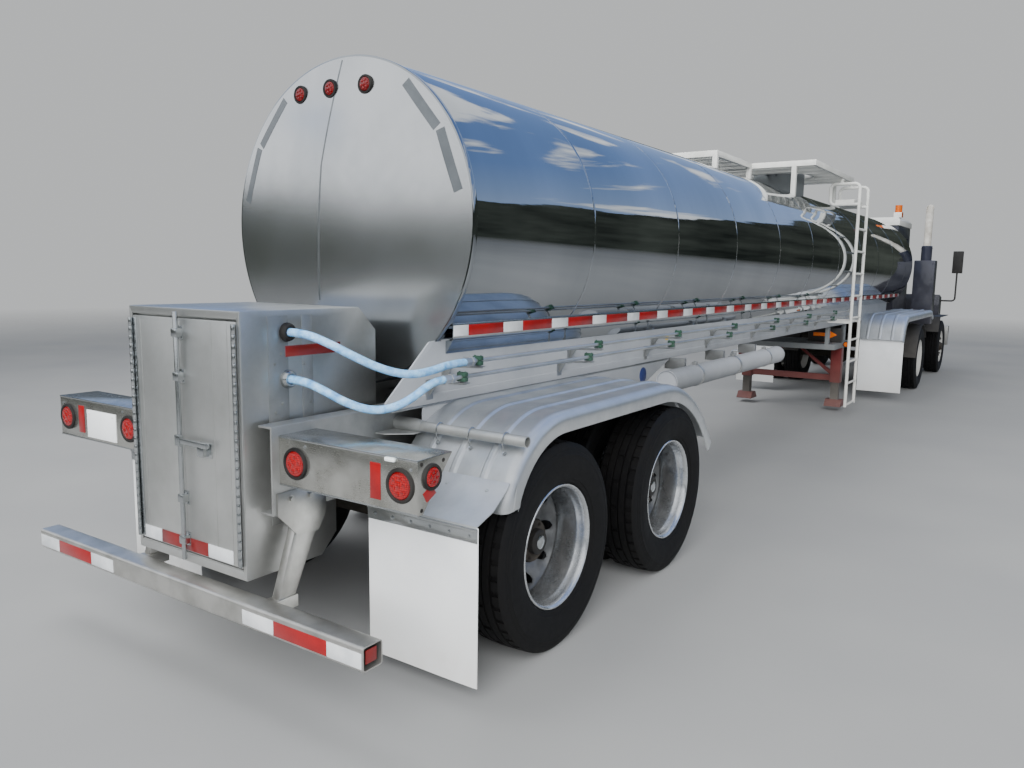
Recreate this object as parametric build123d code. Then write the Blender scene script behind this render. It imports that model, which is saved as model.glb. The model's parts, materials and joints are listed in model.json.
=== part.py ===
from build123d import *
import os
from math import cos, hypot, pi, radians, sin, sqrt

os.makedirs("parts", exist_ok=True)

# An articulated tanker lorry: a round food tank on a tandem semi-trailer, coupled to a
# short terminal tractor. Millimetres. x runs forward from the rear face of the rear
# bumper, y to the left of the centre line and z up from the road.

# Overall
half_width = 1220.0
seat_gap = 0.3
move_gap = 8.0
sheet = 6.0

# Wheels, for the 22.5 inch rim that all of them share
tyre_radius = 500.0
tyre_half_width = 138.0
tread_half_width = 108.0
shoulder_drop = 42.0
bead_radius = 288.0
rim_flange_radius = 299.0
rim_half_width = 115.0
rim_wall = 9.0
twin_spacing = 345.0
hub_radius = 142.0
hub_cap_radius = 72.0
disc_wall = 16.0
disc_seat = 60.0
hand_hole_count = 10
hand_hole_radius = 25.0
hand_hole_circle = 240.0
bolt_circle_radius = 168.0
drum_radius = 210.0

# Trailer running gear
rear_axle_x = 1235.0
axle_spacing = 1283.0
trailer_rim_plane = 1190.0
axle_tube_radius = 64.0

# Tank
tank_rear_x = 1040.0
tank_length = 12860.0
tank_radius = 815.0
tank_clearance = 58.0
head_bulge = 70.0
knuckle_radius = 60.0
rim_band_width = 30.0
rim_band_height = 5.0

# Trailer frame
rail_y = 600.0
rail_bottom_z = 1150.0
rail_rear_x = 690.0
rail_front_setback = 1000.0
rail_wall = 10.0
rail_lip = 70.0
subframe_y = 445.0
subframe_width = 80.0
subframe_rear_x = 150.0
subframe_wall = 10.0
subframe_front_x = 3850.0
subframe_bottom_z = 780.0
subframe_waist_z = 910.0

# Kingpin and coupler
kingpin_setback = 970.0
kingpin_radius = 25.4
kingpin_flange_radius = 36.5
kingpin_drop = 84.0
coupler_plate_z = 1120.0
coupler_plate_wall = 12.0
coupler_half_width = 560.0
coupler_length = 1900.0

# Rear bumper
bumper_half_length = 1123.0
bumper_bottom_z = 362.0
bumper_height = 97.0
bumper_depth = 103.0
bumper_wall = 6.0
bumper_corner = 14.0
strut_side = [(0, -400), (92, -400), (231, -110), (250, 0), (136, 0)]
strut_plate_side = [(17, 110), (17, 0), (112, -100), (231, -110), (278, -38), (278, 110)]
strut_width = 48.0
strut_plate_wall = 8.0
strut_foot_length = 160.0

# Pump cabinet at the rear
cabinet_rear_x = 100.0
cabinet_depth = 767.0
cabinet_left_y = 396.0
cabinet_right_y = -372.0
cabinet_bottom_z = 495.0
cabinet_top_z = 1608.0
cabinet_wall = 12.0
cabinet_chamfer = 108.0
cabinet_lower_depth = 500.0
cabinet_step_z = 1080.0
door_wall = 25.0
door_margin = 24.0
door_bottom_z = 545.0
door_top_z = 1566.0
door_meeting_y = 44.0
lock_rod_inset = 24.0
lock_rod_stand_off = 22.0
lock_rod_radius = 11.0
lock_rod_reach = 28.0
lock_handle_length = 212.0
lock_handle_drop = 10.0
door_hinge_radius = 9.0
door_hinge_stand_off = 12.0
outlet_radius = 38.1
outlet_bore_radius = 36.5
outlet_bore_depth = 60.0
ferrule_radius = 45.5
ferrule_wall = 6.0
outlet_z = 800.0
outlet_y = 20.0

# Lamp boxes
lamp_box_rear_x = 186.0
lamp_box_top_depth = 200.0
lamp_box_bottom_depth = 30.0
lamp_box_inner_y = 485.3
lamp_box_top_z = 1113.0
lamp_box_height = 206.0
tail_lamp_radius = 57.0
tail_lamp_depth = 14.0
side_lamp_radius = 44.0
marker_lamp_radius = 32.0
marker_pitch = 230.0
marker_offset_y = 56.0
marker_rise = 667.0

# Fenders and flaps
fender_inner_y = 600.3
fender_wall = 8.0
fender_top_z = 1160.0
fender_lip = 62.0
fender_rib_height = 9.0
fender_rib_width = 64.0
fender_rib_count = 3
rear_fender_rear_x = 430.0
rear_fender_front_x = 3150.0
front_fender_top_z = 1250.0
front_fender_tail = 1900.0
front_fender_nose = 1150.0
flap_width = 596.0
flap_strip_height = 90.0
fender_bar_x = 891.0
fender_bar_z = 1103.0
fender_bar_radius = 25.0
flap_wall = 10.0
rear_flap_x = 500.0
rear_flap_bottom_z = 122.0
front_flap_bottom_z = 130.0

# Landing gear and deck
gear_setback = 4400.0
gear_y = 600.0
gear_leg_width = 130.0
gear_inner_leg_width = 100.0
gear_top_z = 850.0
gear_sleeve_bottom_z = 380.0
gear_foot_bottom_z = 60.0
gear_foot_width = 260.0
gear_foot_height = 90.0
gear_brace_z = 440.0
gear_box_z = 640.0
gear_box_size = 150.0
gear_box_depth = 60.0
crank_radius = 12.0
crank_reach = 120.0
crank_throw = 260.0
deck_length = 1000.0
deck_half_width = 665.0
deck_height = 70.0

# Ladder, walkway and manhole
ladder_stand_off = 57.0
ladder_lead = 420.0
ladder_width = 500.0
ladder_bottom_z = 150.0
ladder_top_drop = 70.0
ladder_tube_radius = 19.0
ladder_bend_reach = 342.0
ladder_step_drop = 250.0
ladder_rung_count = 9
platform_clearance = 180.0
platform_height = 60.0
front_platform_tail = 970.0
front_platform_nose = 970.0
front_platform_half_width = 680.0
rear_platform_length = 1130.0
platform_gap = 20.0
rear_platform_right_y = 20.0
rear_platform_left_y = 620.0
platform_bar = 40.0
manhole_x = 8430.0
manhole_radius = 300.0
manhole_wall = 15.0
manhole_rise = 50.0
lid_radius = 325.0
lid_height = 40.0

# Pipes, hose tube and hoses on the right side
line_stand_off = 200.0
line_radius = 14.0
upper_line_z = 1364.0
lower_line_z = 1298.0
upper_line_rear_x = 1011.0
lower_line_rear_x = 858.0
line_front_x = 9050.0
line_bracket_pitch = 1200.0
hose_tube_radius = 80.0
hose_tube_stand_off = 190.0
hose_tube_z = 1030.0
hose_tube_rear_x = 3350.0
hose_tube_length = 2650.0
hose_radius = 18.0
gland_radius = 30.0

# Tractor
fifth_wheel_lead = 280.0
wheelbase = 2946.0
front_rim_plane = 1165.0
tractor_rail_y = 430.0
tractor_rail_width = 75.0
tractor_rail_height = 240.0
tractor_rail_top_z = 900.0
tractor_tail = 870.0
steer_pin_y = 905.0
steer_pin_radius = 22.0
fifth_wheel_thickness = 42.0
fifth_wheel_length = 820.0
fifth_wheel_half_width = 455.0
cab_gap = 740.0
cab_length = 1520.0
cab_right_y = -420.0
cab_left_y = 1020.0
cab_floor_z = 1100.0
cab_roof_z = 2760.0
cab_waist_z = 1730.0
cab_wall = 40.0
cab_nose_rake = 160.0
window_margin = 110.0
glass_wall = 8.0
roof_height = 150.0
front_bumper_lead = 440.0
bonnet_top_z = 1420.0
grille_half_width = 360.0
grille_low_z = 960.0
grille_top_z = 1360.0
grille_depth = 40.0
grille_slat_count = 6
headlamp_radius = 80.0
headlamp_y = 720.0
headlamp_z = 1040.0
front_guard_z = 1078.0
cowl_half_width = 1020.0
tow_eye_radius = 25.0
tow_eye_wall = 25.0
tow_eye_depth = 60.0
tow_eye_setback = 80.0
fuel_tank_radius = 260.0
fuel_tank_y = 800.0
fuel_tank_z = 640.0
fuel_tank_bracket = 60.0
battery_box_outer_y = 1060.0
battery_box_z = (400.0, 880.0)
side_tank_lead = 610.0
side_tank_length = 900.0

# Places that follow from the sizes above
tank_front_x = tank_rear_x + tank_length
tank_axis_z = coupler_plate_z + coupler_plate_wall + tank_clearance + tank_radius
rail_front_x = tank_front_x - rail_front_setback
kingpin_x = tank_front_x - kingpin_setback
drive_axle_x = kingpin_x - fifth_wheel_lead
tractor_rear_x = drive_axle_x - tractor_tail
front_fender_rear_x = drive_axle_x - front_fender_tail
front_fender_front_x = drive_axle_x + front_fender_nose
gear_x = tank_front_x - gear_setback
platform_z = tank_axis_z + tank_radius + platform_clearance
front_platform_rear_x = manhole_x - front_platform_tail
front_platform_front_x = manhole_x + front_platform_nose
rear_platform_front_x = front_platform_rear_x - platform_gap
rear_platform_rear_x = rear_platform_front_x - rear_platform_length
manhole_top_z = platform_z + manhole_rise
ladder_rear_x = manhole_x + ladder_lead
ladder_y = tank_radius + ladder_stand_off
ladder_inner_y = ladder_y - ladder_bend_reach
line_y = rail_y + line_stand_off
hose_tube_y = rail_y + hose_tube_stand_off
ladder_top_z = platform_z - ladder_top_drop
ladder_step_z = ladder_top_z - ladder_step_drop
cab_rear_x = tank_front_x + cab_gap
cab_front_x = cab_rear_x + cab_length
front_bumper_x = cab_front_x + front_bumper_lead
total_length = front_bumper_x


def box(x, y, z):
    """Box between three (low, high) pairs."""
    size = [high - low for low, high in (x, y, z)]
    middle = [(high + low) / 2 for low, high in (x, y, z)]
    return Pos(*middle) * Box(*size)


def side_plate(outline, y):
    """Plate with an (x, z) outline between two y values."""
    low, high = y
    face = make_face(Polyline(*[(px, low, pz) for px, pz in outline], close=True))
    return extrude(face, high - low, dir=(0, 1, 0))


def cross_plate(outline, x):
    """Plate with a (y, z) outline between two x values."""
    low, high = x
    face = make_face(Polyline(*[(low, py, pz) for py, pz in outline], close=True))
    return extrude(face, high - low, dir=(1, 0, 0))


def flat_plate(outline, z):
    """Plate with an (x, y) outline between two z values."""
    low, high = z
    face = make_face(Polyline(*[(px, py, low) for px, py in outline], close=True))
    return extrude(face, high - low, dir=(0, 0, 1))


def rod(start, end, radius):
    """Round bar between two points."""
    axis = Vector(*end) - Vector(*start)
    return extrude(Plane(origin=start, z_dir=axis) * Circle(radius), axis.length)


def bent_rod(points, bends, radius):
    """Round bar along straight runs joined by bends."""
    path = FilletPolyline(*points, radius=bends)
    return sweep(Plane(origin=path @ 0, z_dir=path % 0) * Circle(radius), path=path)


def other_side(shape):
    """The same shape on the other side of the centre line."""
    return mirror(shape, about=Plane.XZ)


def both_sides(shape):
    """A shape with its mirror image."""
    return shape + other_side(shape)


def save(name, shape):
    """Write one node, with the origin under the middle of the lorry."""
    placed = Pos(-total_length / 2, 0, 0) * shape
    export_step(placed, f"parts/{name}.step")


def turned_about_x(profile):
    """Solid turned from an (x, r) half profile about the tank's axis."""
    face = make_face(profile)
    return revolve(face, axis=Axis((0, 0, tank_axis_z), (1, 0, 0)))


# Tank
def tank_profile():
    """Half outline of the tank: two shallow heads with knuckles and a straight barrel."""
    def at(x, r):
        return (x, 0, tank_axis_z + r)
    flat = tank_radius - knuckle_radius
    arc_share = 1 - cos(radians(45))
    knuckle_mid = tank_radius - knuckle_radius * arc_share
    edges = [Line(at(tank_rear_x - head_bulge, 0), at(tank_front_x + head_bulge, 0))]
    edges += [ThreePointArc(at(tank_rear_x - head_bulge, 0),
                            at(tank_rear_x - head_bulge * 0.75, tank_radius / 2),
                            at(tank_rear_x, tank_radius))]
    edges += [Line(at(tank_rear_x, tank_radius), at(tank_front_x - knuckle_radius, tank_radius))]
    edges += [ThreePointArc(at(tank_front_x - knuckle_radius, tank_radius),
                            at(tank_front_x - knuckle_radius * arc_share, knuckle_mid),
                            at(tank_front_x, flat))]
    edges += [ThreePointArc(at(tank_front_x, flat),
                            at(tank_front_x + head_bulge * 0.75, flat / 2),
                            at(tank_front_x + head_bulge, 0))]
    return edges


def rim_band(x):
    """Raised ring round the tank that starts at x."""
    ring = Plane(origin=(x, 0, tank_axis_z), z_dir=(1, 0, 0))
    outer = extrude(ring * Circle(tank_radius + rim_band_height), rim_band_width)
    return outer - extrude(ring * Circle(tank_radius - 1), rim_band_width)


tank = turned_about_x(tank_profile()) + rim_band(tank_rear_x)
save("tank", tank)


def tank_bottom_at(y):
    """Height of the tank's underside at a distance y from the centre line."""
    return tank_axis_z - sqrt(tank_radius ** 2 - y ** 2)


def tank_top_at(y):
    """Height of the tank's top at a distance y from the centre line."""
    return tank_axis_z + sqrt(tank_radius ** 2 - y ** 2)


# Side rails: deep plates under the tank's flanks, cut slanting at the rear
def side_rail():
    """Left rail with its inward lip along the bottom."""
    top = tank_bottom_at(rail_y) - seat_gap
    slant = top - rail_bottom_z
    outline = [(rail_rear_x, rail_bottom_z), (rail_front_x, rail_bottom_z),
               (rail_front_x, top), (tank_rear_x + rim_band_width, top),
               (rail_rear_x + slant, top - rim_band_height), (rail_rear_x, rail_bottom_z + 40)]
    web = side_plate(outline, (rail_y - rail_wall, rail_y))
    lip = box((rail_rear_x, rail_front_x), (rail_y - rail_lip, rail_y),
              (rail_bottom_z, rail_bottom_z + rail_wall))
    return web + lip - tank_space - rim_space


tank_space = rod((0, 0, tank_axis_z), (total_length, 0, tank_axis_z), tank_radius + seat_gap)
rim_space = rod((tank_rear_x - move_gap, 0, tank_axis_z),
                (tank_rear_x + rim_band_width + move_gap, 0, tank_axis_z),
                tank_radius + rim_band_height + seat_gap)
save("side_rails", both_sides(side_rail()))


# Coupler frame with the kingpin
def coupler_frame():
    """Plate that rides on the fifth wheel, its cross webs and the kingpin."""
    rear = kingpin_x - coupler_length * 0.6
    front = kingpin_x + coupler_length * 0.4
    top = coupler_plate_z + coupler_plate_wall
    corner = 220.0
    plate = flat_plate([(rear, -coupler_half_width), (front - corner, -coupler_half_width),
                        (front, -coupler_half_width + corner), (front, coupler_half_width - corner),
                        (front - corner, coupler_half_width), (rear, coupler_half_width)],
                       (coupler_plate_z, top))
    frame = plate
    web_pitch = 380.0
    saddle = tank_bottom_at(coupler_half_width)
    web_y = coupler_half_width - corner
    for number in range(5):
        x = rear + 20 + number * web_pitch
        web = box((x, x + rail_wall), (-web_y, web_y), (top, saddle))
        frame += web
    for y in (-web_y, web_y - rail_wall):
        frame += box((rear + 20, front - corner - 20), (y, y + rail_wall), (top, saddle))
    frame -= tank_space
    frame += rod((kingpin_x, 0, coupler_plate_z - kingpin_drop), (kingpin_x, 0, top), kingpin_radius)
    frame += rod((kingpin_x, 0, coupler_plate_z - kingpin_drop),
                 (kingpin_x, 0, coupler_plate_z - kingpin_drop + 16), kingpin_flange_radius)
    return frame


save("coupler_frame", coupler_frame())

# Rear subframe: two rails, cross members, hangers, trailing arms and air springs
subframe_top_z = rail_bottom_z - seat_gap
axle_positions = [rear_axle_x, rear_axle_x + axle_spacing]
hanger_lead = 520.0
air_spring_radius = 110.0


def subframe_side():
    """Left half of the subframe with its suspension."""
    low, high = subframe_y - subframe_width / 2, subframe_y + subframe_width / 2
    slope = 260.0
    waist = subframe_waist_z
    wall = subframe_wall
    outline = [(subframe_rear_x, subframe_bottom_z), (subframe_rear_x, subframe_top_z),
               (subframe_front_x, subframe_top_z), (subframe_front_x - slope, waist),
               (rear_axle_x - 420, waist), (rear_axle_x - 600, subframe_bottom_z)]
    hollow = [(subframe_rear_x - 1, subframe_bottom_z + wall), (subframe_rear_x - 1, subframe_top_z - wall),
              (subframe_front_x - 2 * wall, subframe_top_z - wall),
              (subframe_front_x - slope - wall / 2, waist + wall), (rear_axle_x - 425, waist + wall),
              (rear_axle_x - 605, subframe_bottom_z + wall)]
    side = side_plate(outline, (low, high)) - side_plate(hollow, (low - 1, high - wall))
    ledge = box((rail_rear_x + 40, subframe_front_x), (high - 5, rail_y - seat_gap),
                (subframe_top_z - rail_wall, subframe_top_z))
    side += ledge
    return side


def suspension_side():
    """Hangers, trailing arms and air springs of the left side."""
    parts = None
    low, high = subframe_y - subframe_width / 2, subframe_y + subframe_width / 2
    underside = subframe_waist_z - seat_gap
    for axle_x in axle_positions:
        pivot_x = axle_x + hanger_lead
        pivot_z = tyre_radius + 20
        hanger = side_plate([(pivot_x - 110, underside), (pivot_x + 70, underside),
                             (pivot_x + 55, pivot_z - 60), (pivot_x - 55, pivot_z - 60)],
                            (low + 5, high - 5))
        arm = side_plate([(pivot_x - 40, pivot_z - 45), (pivot_x - 40, pivot_z + 45),
                          (axle_x + 80, tyre_radius + axle_tube_radius + 70),
                          (axle_x - 330, tyre_radius + axle_tube_radius + 40),
                          (axle_x - 330, tyre_radius + axle_tube_radius + 5),
                          (axle_x + 40, tyre_radius + axle_tube_radius - 12)],
                         (low + 10, high - 10))
        spring_x = axle_x - 220
        spring = rod((spring_x, subframe_y, tyre_radius + axle_tube_radius + 30),
                     (spring_x, subframe_y, underside), air_spring_radius)
        group = hanger + arm + spring
        parts = group if parts is None else parts + group
    return parts


subframe_web_y = subframe_y + subframe_width / 2 - subframe_wall
subframe = both_sides(subframe_side())
for cross_x in (rear_axle_x - 330, rear_axle_x + 640, rear_axle_x + 1850):
    subframe += box((cross_x, cross_x + 100), (-subframe_web_y - 1, subframe_web_y + 1),
                    (subframe_bottom_z + 170, subframe_top_z - 120))
save("rear_subframe", subframe)

# Wheels. Each twin wheel turns as one body round its own axle end
outer_tyre_y = trailer_rim_plane - rim_half_width
inner_tyre_y = outer_tyre_y - twin_spacing


def tyre(x, y):
    """Plain tyre, its profile turned about the wheel's axis."""
    tread = tyre_radius
    shoulder = tyre_radius - shoulder_drop
    half = [(bead_radius, rim_half_width - rim_wall - 4), (shoulder - 50, tyre_half_width),
            (shoulder, tyre_half_width), (tread, tread_half_width)]
    outline = [(x, y + w, tyre_radius + r) for r, w in half]
    outline += [(x, y - w, tyre_radius + r) for r, w in reversed(half)]
    face = make_face(Polyline(*outline, close=True))
    return revolve(face, axis=Axis((x, y, tyre_radius), (0, 1, 0)))


def turned_about_wheel(x, profile):
    """Solid turned from (y, r) points about a wheel's axis at x."""
    face = make_face(Polyline(*[(x, y, tyre_radius + r) for y, r in profile], close=True))
    return revolve(face, axis=Axis((x, 0, tyre_radius), (0, 1, 0)))


def rim_barrel(x, y):
    """Rim's barrel with its two flanges."""
    inner = bead_radius - rim_wall
    low, high = y - rim_half_width, y + rim_half_width
    return turned_about_wheel(x, [
        (low, inner), (low, rim_flange_radius), (low + rim_wall, rim_flange_radius),
        (low + rim_wall + 3, bead_radius - seat_gap), (high - rim_wall - 3, bead_radius - seat_gap),
        (high - rim_wall, rim_flange_radius), (high, rim_flange_radius), (high, inner)])


def hand_holes(x, low, high):
    """Ring of round holes through the wheel's discs between two y values."""
    holes = None
    for number in range(hand_hole_count):
        angle = 2 * pi * number / hand_hole_count
        at_x, at_z = x + hand_hole_circle * cos(angle), tyre_radius + hand_hole_circle * sin(angle)
        hole = rod((at_x, low, at_z), (at_x, high, at_z), hand_hole_radius)
        holes = hole if holes is None else holes + hole
    return holes


def twin_rims(x, rim_plane):
    """Left twin rims bolted back to back, with hub, cap and brake drum."""
    outer_y = rim_plane - rim_half_width
    inner_y = outer_y - twin_spacing
    middle = (outer_y + inner_y) / 2
    inner = bead_radius - rim_wall
    flat = bolt_circle_radius + 25
    disc = turned_about_wheel(x, [
        (middle - disc_wall, 0), (middle - disc_wall, flat),
        (inner_y + disc_seat, inner + 2), (inner_y + disc_seat + disc_wall, inner + 2),
        (middle, flat + disc_wall), (outer_y - disc_seat - disc_wall, inner + 2),
        (outer_y - disc_seat, inner + 2), (middle + disc_wall, flat), (middle + disc_wall, 0)])
    disc -= hand_holes(x, inner_y + disc_wall, outer_y - disc_wall)
    hub_out = outer_y + 20
    hub = turned_about_wheel(x, [
        (middle, 0), (middle, hub_radius), (middle + 60, hub_radius - 10),
        (middle + 90, hub_cap_radius + 15), (hub_out - 40, hub_cap_radius + 10),
        (hub_out - 40, hub_cap_radius), (hub_out, hub_cap_radius - 6), (hub_out, 0)])
    drum_in = inner_y - 40
    drum = turned_about_wheel(x, [
        (drum_in, 0), (drum_in, drum_radius), (middle, drum_radius - 20), (middle, 0)])
    rims = rim_barrel(x, outer_y) + rim_barrel(x, inner_y) + disc + hub + drum
    return rims


def twin_tyres(x, rim_plane):
    """Left pair of tyres on one twin wheel."""
    outer_y = rim_plane - rim_half_width
    return tyre(x, outer_y) + tyre(x, outer_y - twin_spacing)


twin_wheels = [  # name, axle x, rim plane
    ("rear", rear_axle_x, trailer_rim_plane),
    ("middle", rear_axle_x + axle_spacing, trailer_rim_plane),
    ("drive", drive_axle_x, trailer_rim_plane),
]
for name, axle_x, rim_plane in twin_wheels:
    rims = twin_rims(axle_x, rim_plane)
    tyres = twin_tyres(axle_x, rim_plane)
    save(f"{name}_rims_left", rims)
    save(f"{name}_tyres_left", tyres)
    save(f"{name}_rims_right", other_side(rims))
    save(f"{name}_tyres_right", other_side(tyres))

# Trailer axles, each a tube between the two drums with brackets for the arms
drum_inner_y = inner_tyre_y - 40
axles = None
for axle_x in axle_positions:
    tube = rod((axle_x, -drum_inner_y + seat_gap, tyre_radius),
               (axle_x, drum_inner_y - seat_gap, tyre_radius), axle_tube_radius)
    chamber_y = 230.0
    chamber_x = axle_x + 190
    for side in (-1, 1):
        y = side * chamber_y
        tube += rod((axle_x + axle_tube_radius - 10, y, tyre_radius), (chamber_x, y, tyre_radius), 20)
        tube += rod((chamber_x, y, tyre_radius), (chamber_x + 120, y, tyre_radius), 75)
    axles = tube if axles is None else axles + tube
save("axles_and_springs", axles + both_sides(suspension_side()))


# Fenders: ribbed aluminium sheet with a rolled outer edge and curved ends
def fender_path(rear, front, top_z):
    """Side outline of a fender from its rear end to its front end, as (x, z) points.

    rear and front each hold the end's x and z, its shoulder's centre x and radius, and the
    angle in degrees at which the shoulder starts or stops.
    """
    steps = 5
    end_x, end_z, centre_x, radius, first = rear
    points = [(end_x, end_z)]
    for step in range(steps + 1):
        angle = radians(first + (90 - first) * step / steps)
        points.append((centre_x + radius * cos(angle), top_z - radius + radius * sin(angle)))
    end_x, end_z, centre_x, radius, last = front
    for step in range(steps + 1):
        angle = radians(90 + (last - 90) * step / steps)
        points.append((centre_x + radius * cos(angle), top_z - radius + radius * sin(angle)))
    points.append((end_x, end_z))
    return points


def offset_path(points, distance):
    """The same path moved into the arch by distance."""
    moved = []
    for number, (x, z) in enumerate(points):
        before = points[max(number - 1, 0)]
        after = points[min(number + 1, len(points) - 1)]
        run_x, run_z = after[0] - before[0], after[1] - before[1]
        length = hypot(run_x, run_z)
        moved.append((x + distance * run_z / length, z - distance * run_x / length))
    return moved


def fender(points):
    """Left fender swept over its side outline, with ribs and a rolled edge."""
    inside = offset_path(points, fender_wall)
    skin = side_plate(points + inside[::-1], (fender_inner_y, half_width))
    deep = offset_path(points, fender_lip)
    lip = side_plate(points + deep[::-1], (half_width - fender_wall, half_width))
    body = skin + lip
    rib_top = offset_path(points, -fender_rib_height)
    rib_base = offset_path(points, fender_wall / 2)
    pitch = (half_width - fender_inner_y) / (fender_rib_count + 0.5)
    for number in range(fender_rib_count):
        y = fender_inner_y + pitch * (number + 0.65)
        body += side_plate(rib_top + rib_base[::-1], (y - fender_rib_width / 2, y + fender_rib_width / 2))
    return body


def flap_strip(x, top_z):
    """Left strip on the fender's inside that the flap hangs on."""
    return box((x + flap_wall + seat_gap, x + flap_wall + seat_gap + sheet), flap_y,
               (top_z - flap_strip_height, top_z + 3))


flap_y = (half_width - fender_wall - seat_gap - flap_width, half_width - fender_wall - seat_gap)
rear_path = fender_path((rear_fender_rear_x, 860.0, 1250.0, 800.0, 130),
                        (rear_fender_front_x, 720.0, rear_fender_front_x - 420, 420.0, 10), fender_top_z)
rear_flap_top_z = 880.0
rear_fender = fender(rear_path) + flap_strip(rear_flap_x, rear_flap_top_z)
bar = rod((fender_bar_x, subframe_y + subframe_width / 2 + seat_gap, fender_bar_z),
          (fender_bar_x, half_width + 5, fender_bar_z), fender_bar_radius)
save("rear_fenders", both_sides(rear_fender + bar))

front_path = fender_path((front_fender_rear_x, 900.0, front_fender_rear_x + 440, 420.0, 160),
                         (front_fender_front_x, 1190.0, front_fender_front_x - 130, 130.0, 30),
                         front_fender_top_z)
front_flap_x = front_fender_rear_x + 75
front_flap_top_z = 1000.0
front_fender = fender(front_path) + flap_strip(front_flap_x, front_flap_top_z)
save("front_fenders", both_sides(front_fender))


# Mud flaps, hung behind the trailer's wheels and behind the tractor's
def flap(x, bottom_z, top_z):
    """Left flap that hangs at x."""
    return box((x, x + flap_wall), flap_y, (bottom_z, top_z - 5))


rear_flaps = both_sides(flap(rear_flap_x, rear_flap_bottom_z, rear_flap_top_z))
front_flaps = both_sides(flap(front_flap_x, front_flap_bottom_z, front_flap_top_z))
save("mud_flaps", rear_flaps + front_flaps)


# Rear bumper: a square tube on two tapered struts, each welded to a six-sided plate
def bumper_tube():
    """Square tube with rounded long edges and open ends."""
    high_z = bumper_bottom_z + bumper_height
    body = box((0, bumper_depth), (-bumper_half_length, bumper_half_length), (bumper_bottom_z, high_z))
    body = fillet(body.edges().filter_by(Axis.Y), bumper_corner)
    return body - box((bumper_wall, bumper_depth - bumper_wall),
                      (-bumper_half_length - 1, bumper_half_length + 1),
                      (bumper_bottom_z + bumper_wall, high_z - bumper_wall))


def bumper_strut():
    """Left strut under the subframe's channel, with its plate outside and its foot on the tube."""
    outer = subframe_y + subframe_width / 2 + seat_gap
    inner = outer - strut_width
    top = subframe_bottom_z - seat_gap
    strut = side_plate([(subframe_rear_x + x, top + z) for x, z in strut_side], (inner, outer))
    plate = side_plate([(subframe_rear_x + x, top + z) for x, z in strut_plate_side],
                       (outer, outer + strut_plate_wall))
    foot = box((bumper_depth - 1, bumper_depth + strut_foot_length), (inner - 10, outer + strut_plate_wall),
               (bumper_bottom_z + 6, bumper_bottom_z + 60))
    return strut + plate + foot


save("rear_bumper", bumper_tube() + both_sides(bumper_strut()))


# Lamp boxes with red lamps
def lamp_box():
    """Left lamp box, deeper at its top."""
    low_z = lamp_box_top_z - lamp_box_height
    rear = lamp_box_rear_x
    shell = side_plate([(rear, low_z), (rear, lamp_box_top_z), (rear + lamp_box_top_depth, lamp_box_top_z),
                        (rear + lamp_box_bottom_depth, low_z)], (lamp_box_inner_y, half_width))
    return shell


save("lamp_boxes", both_sides(lamp_box()))

lamp_z = lamp_box_top_z - lamp_box_height / 2
lamp_rear_x = lamp_box_rear_x - tail_lamp_depth
tail_lamps = None
for y in (lamp_box_inner_y + 70, half_width - 90):
    lamp = rod((lamp_rear_x, y, lamp_z), (lamp_box_rear_x - seat_gap, y, lamp_z), tail_lamp_radius)
    tail_lamps = lamp if tail_lamps is None else tail_lamps + lamp
side_lamp_x = lamp_box_rear_x + 75
tail_lamps += rod((side_lamp_x, half_width + seat_gap, lamp_z + 25),
                  (side_lamp_x, half_width + tail_lamp_depth, lamp_z + 25), side_lamp_radius)
lamps = both_sides(tail_lamps)
head_radius = (tank_radius ** 2 + head_bulge ** 2) / (2 * head_bulge)
for number in (-1, 0, 1):
    y = marker_offset_y + number * marker_pitch
    nearest = hypot(y, marker_rise) - marker_lamp_radius
    face_x = tank_rear_x - head_bulge + head_radius - sqrt(head_radius ** 2 - nearest ** 2) - seat_gap
    z = tank_axis_z + marker_rise
    lamps += rod((face_x - tail_lamp_depth, y, z), (face_x, y, z), marker_lamp_radius)


# Pump cabinet, a hollow box with a chamfered top and a short lower part
def cabinet_outline(inset):
    """Side outline of the cabinet, moved in by inset."""
    rear = cabinet_rear_x + door_wall + seat_gap
    front = cabinet_rear_x + cabinet_depth - inset
    low_front = cabinet_rear_x + cabinet_lower_depth - inset
    chamfer = cabinet_chamfer
    return [(rear, cabinet_bottom_z + inset), (rear, cabinet_top_z - inset),
            (front - chamfer, cabinet_top_z - inset), (front, cabinet_top_z - chamfer - inset),
            (front, cabinet_step_z + inset), (low_front, cabinet_step_z - 160 + inset),
            (low_front, cabinet_bottom_z + 90 + inset), (low_front - 90, cabinet_bottom_z + inset)]


cabinet = side_plate(cabinet_outline(0), (cabinet_right_y, cabinet_left_y))
cabinet -= side_plate(cabinet_outline(cabinet_wall),
                      (cabinet_right_y + cabinet_wall, cabinet_left_y - cabinet_wall))
front_of_door = cabinet_rear_x + door_wall
cabinet += box((front_of_door + seat_gap, front_of_door + cabinet_wall),
               (cabinet_right_y, cabinet_left_y), (cabinet_bottom_z, cabinet_top_z))
door_right_y = cabinet_right_y + door_margin
door_left_y = cabinet_left_y - door_margin
cabinet -= box((front_of_door - 5, front_of_door + cabinet_wall + 5),
               (door_right_y + 20, door_left_y - 20), (door_bottom_z + 20, door_top_z - 20))
for y in ((cabinet_right_y, door_right_y - move_gap), (door_left_y + move_gap, cabinet_left_y)):
    cabinet += box((cabinet_rear_x + 4, front_of_door + 5), y, (cabinet_bottom_z, cabinet_top_z))
for z in ((cabinet_bottom_z, door_bottom_z - move_gap), (door_top_z + move_gap, cabinet_top_z)):
    cabinet += box((cabinet_rear_x + 4, front_of_door + 5), (cabinet_right_y, cabinet_left_y), z)
gland_x = 335.0
upper_gland_z = 1515.0
lower_gland_z = 1317.0
gland_length = 18.0
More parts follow.
